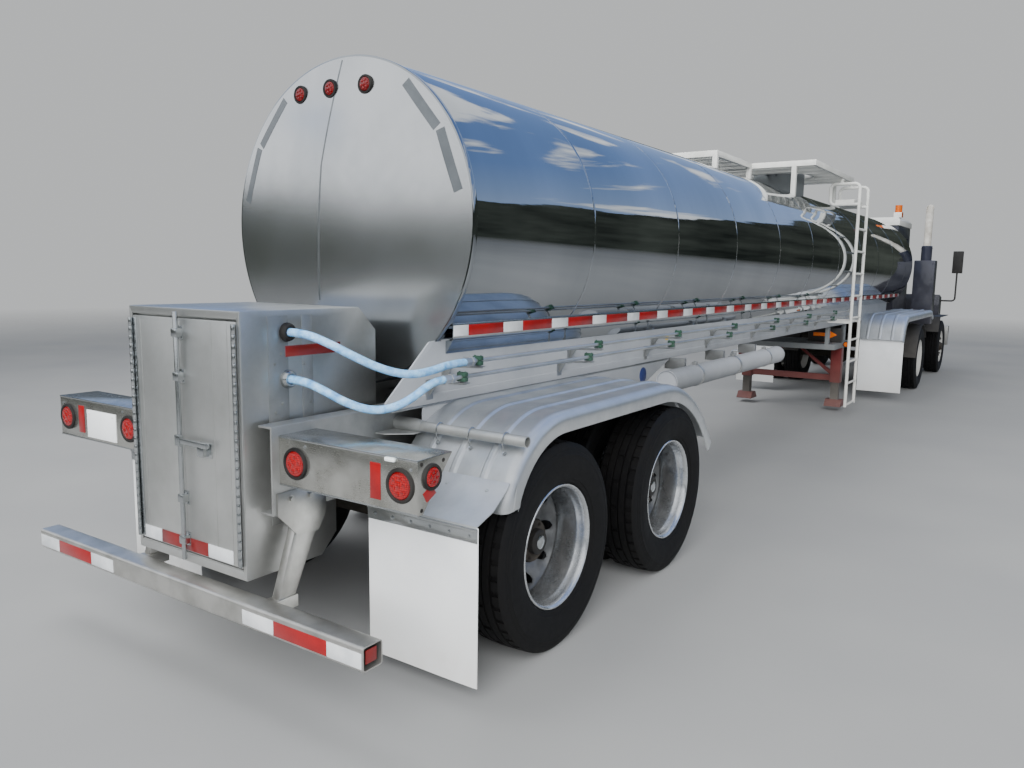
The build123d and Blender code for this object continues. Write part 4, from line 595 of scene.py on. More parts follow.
class Form:
    """A piece in the making: a mesh that small shapes are added to, with x counted from the rear bumper."""

    skins: ClassVar[dict[str, Material]] = {}

    def __init__(self, rear: float = REAR) -> None:
        """Start with an empty mesh.

        Args:
            rear: where the rear bumper, from which x is counted, lies in the lorry's frame.
        """
        self.mesh = bmesh.new()
        self.rear = rear
        self.slot = 0

    def keep(self, part: bmesh.types.BMesh, bevel: float = 0.0,
             outward: Axis | Place | None = None) -> "Form":
        """Round the sharp edges of a new part and add it.

        Args:
            part: the new part, which is freed.
            bevel: width of the rounding, or nought for none.
            outward: direction in which an open part's furthest face looks, or None for a closed part.

        Returns:
            This form.
        """
        if outward is None:
            bmesh.ops.recalc_face_normals(part, faces=part.faces)
        else:
            face_out(part, outward)
        if bevel > 0:
            sharp = [e for e in part.edges if e.is_manifold and e.calc_face_angle(0.0) > SHARP_ANGLE]
            bmesh.ops.bevel(part, geom=sharp, offset=bevel, segments=2, profile=0.5, affect="EDGES",
                    material=-1)
        for face in part.faces:
            face.material_index = self.slot
        return self.merge(part)

    def merge(self, part: bmesh.types.BMesh, place: Matrix | None = None) -> "Form":
        """Add a part and free it, moved if asked, its faces turned back out if the move mirrors it."""
        buffer = bpy.data.meshes.new("part")
        part.to_mesh(buffer)
        part.free()
        if place:
            buffer.transform(place)
            if place.determinant() < 0:
                buffer.flip_normals()
        self.mesh.from_mesh(buffer)
        bpy.data.meshes.remove(buffer)
        return self

    def sheet(self, part: bmesh.types.BMesh, thickness: float, outward: Axis | Place,
              bevel: float = 0.0) -> "Form":
        """Give an open sheet a wall behind its outer side, and add it.

        Args:
            part: the sheet, which is freed.
            thickness: of the wall.
            outward: direction in which the sheet's furthest face looks.
            bevel: width of the rounding, or nought for none.

        Returns:
            This form.
        """
        face_out(part, outward)
        bmesh.ops.solidify(part, geom=part.faces, thickness=thickness)
        return self.keep(part, bevel)

    def box(self, corner: Place, opposite: Place, bevel: float = 2 * MM) -> "Form":
        """Add a box between two opposite corners."""
        part = bmesh.new()
        size = [abs(b - a) for a, b in zip(corner, opposite)]
        place = Matrix.Translation((Vector(corner) + Vector(opposite)) / 2) @ Matrix.Diagonal((*size, 1.0))
        bmesh.ops.create_cube(part, size=1.0, matrix=place)
        return self.keep(part, bevel)

    def rod(self, start: Place, end: Place, radius: float, end_radius: float | None = None, sides: int = 24,
            bevel: float = 0.0) -> "Form":
        """Add a round bar, or a cone, between two points."""
        part = bmesh.new()
        run = Vector(end) - Vector(start)
        place = facing((Vector(start) + Vector(end)) / 2, run)
        bmesh.ops.create_cone(part, cap_ends=True, segments=sides, radius1=radius,
                radius2=radius if end_radius is None else end_radius, depth=run.length, matrix=place)
        return self.keep(part, bevel)

    def turned(self, profile: Sequence[Pair], centre: Place, axis: Axis | Place, steps: int = 64,
               closed: bool = False) -> "Form":
        """Spin a profile into a round part.

        Args:
            profile: (distance along the axis, radius) of each point.
            centre: where the distance is nought.
            axis: direction of the axis.
            steps: faces round the part.
            closed: whether the last point joins the first.

        Returns:
            This form.
        """
        part = bmesh.new()
        corners = [part.verts.new((radius, 0.0, along)) for along, radius in profile]
        edges = [part.edges.new(pair) for pair in zip(corners, corners[1:])]
        if closed:
            edges.append(part.edges.new((corners[-1], corners[0])))
        bmesh.ops.spin(part, geom=corners + edges, cent=(0, 0, 0), axis=(0, 0, 1), angle=math.tau,
                       steps=steps, use_merge=True)
        bmesh.ops.remove_doubles(part, verts=part.verts, dist=1e-6)
        bmesh.ops.transform(part, matrix=facing(centre, axis), verts=part.verts)
        return self.keep(part, outward=None if closed else axis)

    def plate(self, outline: Sequence[Pair], low: float, high: float, normal: Axis = Axis.Y,
              bevel: float = MM) -> "Form":
        """Add a flat plate with an outline across one direction.

        Args:
            outline: corners as (x, z) for a plate across y, (y, z) across x and (x, y) across z.
            low: where the plate starts.
            high: where it ends.
            normal: the direction across the plate.
            bevel: rounding of its edges.

        Returns:
            This form.
        """
        part = bmesh.new()
        order = {Axis.X: (2, 0, 1), Axis.Y: (0, 2, 1), Axis.Z: (0, 1, 2)}[normal]
        face = part.faces.new([part.verts.new([(*pair, low)[index] for index in order]) for pair in outline])
        grown = bmesh.ops.extrude_face_region(part, geom=[face])
        moved = [g for g in grown["geom"] if isinstance(g, bmesh.types.BMVert)]
        bmesh.ops.translate(part, vec=aimed(normal) * (high - low), verts=moved)
        return self.keep(part, bevel)

    def wire(self, points: Sequence[Place], radius: float, sides: int) -> "Form":
        """Add a bent wire along points."""
        curve = bpy.data.curves.new("run", "CURVE")
        curve.dimensions = "3D"
        curve.bevel_depth = radius
        curve.bevel_resolution = max(1, sides // 4 - 1)
        curve.use_fill_caps = True
        line = curve.splines.new("POLY")
        line.points.add(len(points) - 1)
        for point, place in zip(line.points, points):
            point.co = (*place, 1.0)
        holder = bpy.data.objects.new("run", curve)
        mesh = bpy.data.meshes.new_from_object(holder)
        part = bmesh.new()
        part.from_mesh(mesh)
        bmesh.ops.remove_doubles(part, verts=part.verts, dist=1e-6)
        bpy.data.meshes.remove(mesh)
        bpy.data.objects.remove(holder)
        bpy.data.curves.remove(curve)
        return self.keep(part)

    def bolt(self, at: Place, axis: Axis | Place, across: float, height: float) -> "Form":
        """Add a hexagon bolt head on a washer, standing out along axis."""
        foot, out = Vector(at), aimed(axis)
        self.rod(foot - out * MM, foot + out * 2 * MM, across * 0.72, sides=20)
        return self.rod(foot + out * 2 * MM, foot + out * height, across * 0.5, across * 0.47, sides=6)

    def rivet(self, at: Place, axis: Place, radius: float) -> "Form":
        """Add a domed rivet head."""
        profile = [(-MM, radius), (0.0, radius), (radius * 0.4, radius * 0.7), (radius * 0.5, 0.0)]
        return self.turned(profile, at, axis, steps=12)

    def copy_of(self, other: "Form", place: Matrix | None = None) -> "Form":
        """Add a copy of another form, moved if asked, keeping its own material numbers."""
        return self.merge(other.mesh.copy(), place)

    def mirrored(self) -> "Form":
        """Add this form's mirror image on the other side of the centre line."""
        return self.copy_of(self, MIRROR)

    def finish(self, name: str, finishes: str, slot: str, replaces: Sequence[str] = (),
               body: Body = Body.TRAILER) -> bpy.types.Object:
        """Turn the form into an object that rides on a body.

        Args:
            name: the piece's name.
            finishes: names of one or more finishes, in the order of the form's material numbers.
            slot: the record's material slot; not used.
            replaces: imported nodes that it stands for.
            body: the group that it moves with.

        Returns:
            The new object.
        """
        bmesh.ops.translate(self.mesh, vec=(self.rear, 0, 0), verts=self.mesh.verts)
        for face in self.mesh.faces:
            face.smooth = True
        for edge in self.mesh.edges:
            edge.smooth = not edge.is_manifold or edge.calc_face_angle(0.0) < SHARP_ANGLE
        mesh = bpy.data.meshes.new(name)
        self.mesh.to_mesh(mesh)
        self.mesh.free()
        for finish in finishes.split():
            mesh.materials.append(self.skins[finish])
        piece = bpy.data.objects.new(name, mesh)
        bpy.context.scene.collection.objects.link(piece)
        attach(piece, body.value)
        if replaces:
            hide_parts(*replaces)
        LOG.info("%s: %d faces on %s", name, len(mesh.polygons), body.value)
        return piece


@dataclass
class Lorry:
    """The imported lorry: which body each node moves with and which slot it belongs to."""

    frame: dict[str, Any]

    def slot_of(self, node: str) -> str:
        """The record's material slot of a node."""
        rows = self.frame["record"]["subparts"]
        return next(row["material_slot"] for row in rows if row["node"] == node)

    def clad(self, node: str, finish: str, bevel: float) -> bpy.types.Object:
        """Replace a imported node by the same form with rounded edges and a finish.

        Args:
            node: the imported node.
            finish: the material's name.
            bevel: width of the rounding on its sharp edges.

        Returns:
            The new piece.
        """
        part = bmesh.new()
        part.from_mesh(self.frame["nodes"][node].data)
        bmesh.ops.remove_doubles(part, verts=part.verts, dist=WELD_DISTANCE)
        bmesh.ops.dissolve_limit(part, angle_limit=FLAT_ANGLE, verts=part.verts, edges=part.edges)
        sharp = [e for e in part.edges if e.is_manifold and e.calc_face_angle(0.0) > SHARP_ANGLE
                 and e.calc_length() > 3 * bevel]
        if bevel > 0 and sharp:
            bmesh.ops.bevel(part, geom=sharp, offset=bevel, segments=2, profile=0.5, affect="EDGES",
                    clamp_overlap=True, material=-1)
        groups = self.frame["record"]["behaviour"]["bodies"]
        body = Body(next(name for name, members in groups.items() if node in members))
        return Form(0.0).merge(part).finish(f"{node}_dressed", finish, self.slot_of(node), [node], body)


@dataclass
class Assembly:
    """A part of the lorry that is dressed on its own."""

    lorry: Lorry


@dataclass
class Tank(Assembly):
    """The round tank: polished jacket, satin rear head, front head and what is fixed to them."""

    radius: float = 0.815
    rear: float = 1.04
    front: float = 13.9
    bulge: float = 0.07
    knuckle: float = 0.06
    rim: float = 0.03
    rim_height: float = 0.005
    first_seam: float = 2.2
    seam_pitch: float = 1.215
    seam_depth: float = 1.6 * MM
    steps: int = 288
    head_rings: int = 30
    lap: float = 4 * MM

    def build(self) -> None:
        """Make every piece of the tank."""
        self.jacket()
        self.heads()
        self.head_details()
        self.markers()
        self.side_tape()

    def seams(self) -> list[float]:
        """Distances of the jacket's ring seams from the rear bumper."""
        count = int((self.front - self.knuckle - self.first_seam) / self.seam_pitch) + 1
        return [self.first_seam + number * self.seam_pitch for number in range(count)]

    def jacket(self) -> None:
        """Polished barrel with ring seams, a rear rim and the front knuckle."""
        r = self.radius
        top = r + self.rim_height
        start, end = self.rear, self.rear + self.rim
        profile = [(start, r - 6 * MM), (start, r - 2 * MM), (start + MM, top - MM),
                   (start + 2.5 * MM, top), (end - 3 * MM, top), (end - MM, top - MM), (end, r + MM),
                   (end + MM, r), (end + 12 * MM, r)]
        for seam in self.seams():
            profile += [(seam - 14 * MM, r), (seam - 3 * MM, r), (seam, r - self.seam_depth),
                        (seam + 3 * MM, r), (seam + 14 * MM, r)]
        edge = self.front - self.knuckle
        profile += [(edge - 12 * MM, r), *arc((edge, r - self.knuckle), self.knuckle, 90, 0, 8)]
        form = Form().turned(profile, (0, 0, TANK_AXIS), Axis.X, self.steps)
        form.finish("tank_jacket", "polished_jacket", "tank_steel", ["tank"])

    def rise(self, radius: float, reach: float) -> float:
        """How far a shallow head of a radius stands out at a distance from the tank's axis."""
        ball = (radius ** 2 + self.bulge ** 2) / (2 * self.bulge)
        return math.sqrt(ball ** 2 - reach ** 2) - (ball - self.bulge)

    def heads(self) -> None:
        """Satin heads that close the rear and the front of the jacket."""
        for name, rim, radius, outward, steps in (("rear_head", self.rear, self.radius - self.lap, -1, 192),
                ("front_head", self.front, self.radius - self.knuckle, 1, 128)):
            reaches = [radius * ring / self.head_rings for ring in range(self.head_rings + 1)]
            profile = [(outward * rim + self.rise(radius, reach), reach) for reach in reaches]
            form = Form().turned(profile, (0, 0, TANK_AXIS), (outward, 0, 0), steps)
            form.finish(name, "satin_head", "tank_steel")

    def head_x(self, y: float, z: float) -> float:
        """Where the rear head's surface lies behind a point of its face."""
        return self.rear - self.rise(self.radius - self.lap, math.hypot(y, z - TANK_AXIS))

    def ribbon(self, form: Form, start: Pair, end: Pair, width: float, proud: float, parts: int) -> None:
        """Lay a thin strip on the rear head along a line of its face."""
        part = bmesh.new()
        bmesh.ops.create_grid(part, x_segments=parts, y_segments=2, size=0.5)
        line = Vector(end) - Vector(start)
        side = Vector((-line.y, line.x)).normalized() * width
        for vert in part.verts:
            y, z = Vector(start) + line * (vert.co.x + 0.5) + side * vert.co.y
            vert.co = (self.head_x(y, z) - proud, y, z)
        form.sheet(part, proud, (-1, 0, 0))

    def head_details(self) -> None:
        """Dressed weld seam and the grey reflective strips near the rim."""
        seam = Form()
        self.ribbon(seam, (0.0, 2.805), (0.1, 2.3), 0.01, 0.4 * MM, 16)
        self.ribbon(seam, (0.1, 2.3), (0.135, 1.62), 0.012, 0.4 * MM, 16)
        seam.finish("head_weld", "weld_steel", "tank_steel")
        strips = Form()
        for side in (-1, 1):
            self.ribbon(strips, (side * 0.418, 2.655), (side * 0.611, 2.434), 0.048, 1.0 * MM, 8)
            self.ribbon(strips, (side * 0.629, 2.423), (side * 0.737, 2.141), 0.048, 1.0 * MM, 8)
        strips.finish("head_strips", "tape_grey", "tank_steel")

    def markers(self) -> None:
        """Three red marker lamps along the top of the rear head."""
        place = Form()
        for y, z in ((0.288, 2.667), (0.064, 2.672), (-0.175, 2.667)):
            lamp = round_lamp((self.head_x(y, z), y, z), (-1, 0, 0), 0.034, 0.046)
            place.copy_of(lamp)
        place.finish("head_markers", "lens_deep_red seal_rubber", "red_lens")

    def side_tape(self) -> None:
        """Upright flange low on each flank, with red and white reflective tape along it in dashes."""
        low, high, period, red_length = 1.47, 1.522, 0.481, 0.3
        for side, tag in SIDES:
            inner, outer, proud = (side * y for y in (0.6625, 0.6665, 0.6675))
            flange, red, white = Form(), Form(), Form()
            flange.box((1.086, inner, 1.46), (13.62, outer, 1.532), MM)
            start, colour, length = 1.088, white, 0.117
            while start < 13.6:
                end = min(start + length, 13.6)
                colour.box((start, outer, low), (end, proud, high), 0.2 * MM)
                start = end
                colour = red if colour is white else white
                length = red_length if colour is red else period - red_length
            flange.finish(f"side_flange_{tag}", "bright_steel", "tank_steel")
            red.finish(f"side_tape_red_{tag}", "tape_red", "tank_steel")
            white.finish(f"side_tape_white_{tag}", "tape_white", "tank_steel")


def round_lamp(at: Place, out: Place, lens: float, grommet: float, depth: float = 0.012) -> Form:
    """A round lamp: domed lens with rings in material 0, set in a rubber grommet in material 1.

    Args:
        at: middle of its seat.
        out: direction it faces.
        lens: radius of the lens.
        grommet: outer radius of the rubber ring.
        depth: how far the lens stands out.

    Returns:
        The form.
    """
    form = Form()
    dome = [(-2 * MM, lens), (depth * 0.55, lens * 0.995), (depth * 0.85, lens * 0.93),
            (depth * 0.97, lens * 0.78), (depth * 0.93, lens * 0.74), (depth * 1.02, lens * 0.7),
            (depth * 1.1, lens * 0.45), (depth * 1.04, lens * 0.42), (depth * 1.12, lens * 0.38),
            (depth * 1.16, 0.0)]
    form.turned(dome, at, out, 40)
    aim = Vector(out).normalized()
    across = aim.orthogonal().normalized()
    for number in range(7):
        reach = 0.0 if number == 6 else lens * 0.56
        seat = Vector(at) + Matrix.Rotation(math.radians(60 * number), 3, aim) @ across * reach
        form.turned([(depth * 0.9, lens * 0.22), (depth * 1.22, lens * 0.19), (depth * 1.34, lens * 0.1),
                     (depth * 1.38, 0.0)], seat, out, 14)
    form.slot = 1
    ring = [(-3 * MM, lens * 0.98), (depth * 0.75, lens * 1.0), (depth * 0.95, lens * 1.04),
            (depth * 0.9, grommet * 0.96), (depth * 0.5, grommet), (-3 * MM, grommet)]
    form.turned(ring, at, out, 40, closed=True)
    return form


@dataclass
class Wheels(Assembly):
    """Tyres with their tread and the bolted rims, as twins on the trailer and the drive axle."""

    axle_height: float = 0.5
    outer_plane: float = 1.075
    front_plane: float = 1.05
    twin_spacing: float = 0.345
    tyre_radius: float = 0.4995
    tread_half: float = 0.107
    crown: float = 0.004
    grooves: tuple[float, ...] = (-0.066, -0.0225, 0.0225, 0.066)
    groove_half: float = 0.0055
    groove_depth: float = 0.013
    tread_steps: int = 132
    flange_radius: float = 0.2985
    barrel_radius: float = 0.281
    rim_half: float = 0.1145
    bolt_circle: float = 0.168
    hole_radius: float = 0.025
    hole_count: int = 10
    axles: tuple[tuple[str, float, str], ...] = (  # name, distance from the rear bumper, finishes of the rim
        ("rear", 1.235, "wheel_alloy disc_alloy hub_iron bright_steel seal_rubber"),
        ("middle", 2.518, "wheel_alloy disc_alloy hub_iron bright_steel seal_rubber"),
        ("drive", 12.65, "wheel_white wheel_white hub_iron bright_steel seal_rubber"),
        ("front", 15.596, "wheel_white wheel_white hub_iron moulded_black"))

    def build(self) -> None:
        """Make all wheels."""
        tyre, twin, front = self.tyre(), self.twin_rims(), self.front_rim()
        for side, tag in reversed(SIDES):
            for name, x, finishes in self.axles:
                single = name == "front"
                words = ("tyre", "rim", "painted") if single else ("tyres", "rims", "polished")
                tyres, rims = (f"{name}_{word}_{tag}" for word in words[:2])
                body = Body(f"{name}_wheel_{tag}")
                plane = self.front_plane if single else self.outer_plane
                rubber = Form().copy_of(tyre, self.place(x, side, plane))
                if not single:
                    rubber.copy_of(tyre, self.place(x, side, plane - self.twin_spacing))
                rubber.finish(f"{tyres}_tread", "tyre_rubber", "tyre_rubber", [tyres], body)
                metal = Form().copy_of(front if single else twin, self.place(x, side, plane))
                metal.finish(f"{rims}_{words[2]}", finishes, "rim_paint", [rims], body)

    def place(self, x: float, side: int, y: float) -> Matrix:
        """Where a wheel built about the origin goes: x, side of the lorry and distance from its middle."""
        here = Matrix.Translation((x, side * y, self.axle_height))
        return here @ Matrix.Diagonal((1.0, float(side), 1.0, 1.0))

    def tyre(self) -> Form:
        """One tyre about the origin, its axis along y: sidewalls with rings, ribs and notched shoulders."""
        side = [(0.101, 0.2887), (0.104, 0.2975), (0.112, 0.302), (0.1175, 0.3075), (0.1175, 0.312),
                (0.1225, 0.325), (0.125, 0.3262), (0.1258, 0.329), (0.13, 0.35), (0.1345, 0.375),
                (0.1368, 0.399), (0.1366, 0.418), (0.1342, 0.434), (0.1352, 0.4366), (0.1346, 0.4396),
                (0.1318, 0.442), (0.128, 0.456), (0.1255, 0.458), (0.1246, 0.465), (0.119, 0.48),
                (0.113, 0.49)]
        profile = side + [(self.tread_half, self.crest(self.tread_half))]
        for groove in reversed(self.grooves):
            for offset, depth in ((1.0, 0.0), (0.6, 1.0), (-0.6, 1.0), (-1.0, 0.0)):
                w = groove + offset * self.groove_half
                profile.append((w, self.crest(w) - depth * self.groove_depth))
        profile.append((-self.tread_half, self.crest(-self.tread_half)))
        profile += [(-w, r) for w, r in reversed(side)]
        form = Form().turned(profile, (0, 0, 0), Axis.Y, self.tread_steps, closed=True)
        self.notch(form.mesh)
        return form

    def crest(self, w: float) -> float:
        """Tread radius at a distance from the tyre's middle."""
        return self.tyre_radius - self.crown * (w / self.tread_half) ** 2

    def notch(self, mesh: bmesh.types.BMesh) -> None:
        """Press short notches into the shoulder ribs and slots into the middle rib."""
        chosen = []
        for face in mesh.faces:
            middle = face.calc_center_median()
            radius = math.hypot(middle.x, middle.z)
            step = round(math.atan2(middle.z, middle.x) / math.tau * self.tread_steps - 0.5)
            shoulder = 0.072 < abs(middle.y) < 0.112 and step % 3 == 0
            inner = abs(middle.y) < 0.016 and step % 6 == 0
            if radius > self.tyre_radius - 0.012 and (shoulder or inner) and abs(face.normal.y) < 0.5:
                chosen.append(face)
        sunk = bmesh.ops.extrude_discrete_faces(mesh, faces=chosen)
        for face in sunk["faces"]:
            for corner in face.verts:
                radius = math.hypot(corner.co.x, corner.co.z)
                share = (radius - 0.009) / radius
                corner.co.x *= share
                corner.co.z *= share

    def barrel(self, form: Form, shift: float) -> None:
        """Rim with rounded flanges and its drop centre, its middle moved along the axle."""
        inner = self.barrel_radius - 0.002
        half = [(0.106, 0.288), (0.106, self.flange_radius - 0.004), (0.1075, self.flange_radius),
                (0.111, self.flange_radius + 0.0003), (self.rim_half, self.flange_radius - 0.003),
                (self.rim_half, self.flange_radius - 0.008), (0.11, inner + 0.006), (0.102, inner),
                (0.085, inner - 0.001), (0.06, inner - 0.01), (0.054, inner - 0.012)]
        outline = [(w + shift, r) for w, r in half] + [(-w + shift, r) for w, r in reversed(half)]
        form.turned(outline, (0, 0, 0), Axis.Y, 96, closed=True)

    def disc(self, form: Form, rim: Pair, bolt: Pair, wall: float, hole: float = 0.0) -> None:
        """Dished wheel disc with round hand holes, made of equal sectors.

        Args:
            form: what it is added to.
            rim: distance along the axle and radius where it meets the barrel.
            bolt: the same where its flat middle starts.
            wall: its thickness.
            hole: radius of the hand holes, or nought for the wheel's usual one.
        """
        part = bmesh.new()
        span = math.tau / self.hole_count
        middle = (rim[1] + bolt[1]) / 2
        radius = hole or self.hole_radius
        corners = []
        for number in range(16):
            edge, along = divmod(number, 4)
            share = along / 4
            across, angle = [(share, 0.0), (1.0, share), (1.0 - share, 1.0), (0.0, 1.0 - share)][edge]
            corners.append((bolt[1] + (rim[1] - bolt[1]) * across, span * (angle - 0.5)))
        first = [part.verts.new((r, a, 0)) for r, a in corners]
        ring = []
        for r, a in corners:
            turn = math.atan2(a * middle, r - middle)
            ring.append(part.verts.new((middle + radius * math.cos(turn), radius * math.sin(turn) / middle,
                    0)))
        edges = [part.edges.new((loop[i], loop[(i + 1) % 16])) for loop in (first, ring) for i in range(16)]
        bmesh.ops.bridge_loops(part, edges=edges)
        for vert in part.verts:
            r, a = vert.co.x, vert.co.y
            share = max(0.0, (r - bolt[1]) / (rim[1] - bolt[1]))
            lift = bolt[0] + (rim[0] - bolt[0]) * (share ** 1.35)
            vert.co = (r * math.cos(a), lift, r * math.sin(a))
        source = part.faces[:]
        for number in range(1, self.hole_count):
            copy = bmesh.ops.duplicate(part, geom=source)
            verts = [g for g in copy["geom"] if isinstance(g, bmesh.types.BMVert)]
            bmesh.ops.rotate(part, cent=(0, 0, 0), matrix=Matrix.Rotation(-span * number, 3, "Y"),
                    verts=verts)
        bmesh.ops.remove_doubles(part, verts=part.verts, dist=WELD_DISTANCE)
        form.sheet(part, wall, Axis.Y, 2 * MM)

    def nuts(self, form: Form, face: float, length: float, across: float, cap: bool) -> None:
        """Ten wheel nuts on the bolt circle, as flanged nuts with stud ends or under long caps."""
        for x, z in circle(self.bolt_circle, self.hole_count, 0.5):
            foot = Vector((x, face, z))
            tip = foot + Vector((0, length, 0))
            form.rod(foot - Vector((0, 2 * MM, 0)), foot + Vector((0, 6 * MM, 0)), across * 0.68, sides=16)
            if cap:
                form.turned([(0.004, across * 0.55), (length * 0.8, across * 0.46), (length, across * 0.3),
                        (length + 0.004, 0.0)], foot, Axis.Y, 12)
            else:
                form.rod(foot, tip, across * 0.5, sides=6, bevel=MM)
                form.rod(tip, tip + Vector((0, 9 * MM, 0)), 9 * MM, sides=10, bevel=MM)

    def twin_rims(self) -> Form:
        """Two rims bolted back to back about the origin, the outer one deep-dished.

        Material 0 is the polished barrel, 1 the disc, 2 the hub and drum, 3 nuts and cap.
        """
        form = Form()
        self.barrel(form, 0.0)
        self.barrel(form, -self.twin_spacing)
        middle = -self.twin_spacing / 2
        form.slot = 1
        self.disc(form, (-0.06, 0.278), (middle + 0.016, 0.196), 10 * MM)
        self.disc(form, (middle * 2 + 0.06, 0.278), (middle - 0.006, 0.196), 10 * MM)
        form.turned([(middle + 0.006, 0.13), (middle + 0.0165, 0.13), (middle + 0.0165, 0.1965),
                     (middle + 0.006, 0.1965)], (0, 0, 0), Axis.Y, 60, closed=True)
        form.slot = 2
        form.turned([(middle, 0.142), (middle + 0.03, 0.142), (middle + 0.036, 0.136),
                     (middle + 0.06, 0.132), (middle + 0.066, 0.124), (middle + 0.08, 0.112),
                     (-0.034, 0.106), (-0.024, 0.1), (-0.022, 0.0)], (0, 0, 0), Axis.Y, 48)
        form.turned([(-0.385, 0.0), (-0.385, 0.205), (-0.378, 0.21), (-0.34, 0.21), (-0.336, 0.204),
                     (-0.3, 0.204), (-0.296, 0.209), (-0.24, 0.204), (middle, 0.19), (middle, 0.0)],
                    (0, 0, 0), Axis.Y, 60)
        for x, z in circle(0.084, 6):
            form.bolt((x, -0.022, z), Axis.Y, 13 * MM, 6 * MM)
        form.slot = 3
        self.nuts(form, middle + 0.0165, 0.022, 0.033, False)
        form.turned([(0.008, 0.034), (0.013, 0.033), (0.016, 0.026), (0.018, 0.0)], (0, 0, 0), Axis.Y, 40)
        form.slot = 4
        form.turned([(-0.024, 0.062), (0.002, 0.061), (0.01, 0.055), (0.0125, 0.048), (0.0125, 0.036),
                     (0.009, 0.034), (0.008, 0.0)], (0, 0, 0), Axis.Y, 40)
        return form

    def front_rim(self) -> Form:
        """Steering wheel rim about the origin, its disc bulging outwards.

        Materials as on the twin rims, with 3 for the dark nut covers.
        """
        form = Form()
        self.barrel(form, 0.0)
        form.slot = 1
        self.disc(form, (-0.01, 0.278), (0.0605, 0.186), 10 * MM, 0.022)
        form.turned([(0.0505, 0.1), (0.0605, 0.1), (0.0605, 0.1865), (0.0505, 0.1865)], (0, 0, 0), Axis.Y,
                    60, closed=True)
        form.slot = 2
        form.turned([(0.05, 0.104), (0.085, 0.102), (0.094, 0.092), (0.128, 0.072), (0.148, 0.066),
                     (0.1495, 0.0)], (0, 0, 0), Axis.Y, 48)
        form.turned([(-0.05, 0.0), (-0.05, 0.195), (-0.044, 0.2), (-0.01, 0.2), (0.045, 0.17),
                     (0.045, 0.0)], (0, 0, 0), Axis.Y, 60)
        form.slot = 3
        self.nuts(form, 0.0605, 0.052, 0.04, True)
        return form


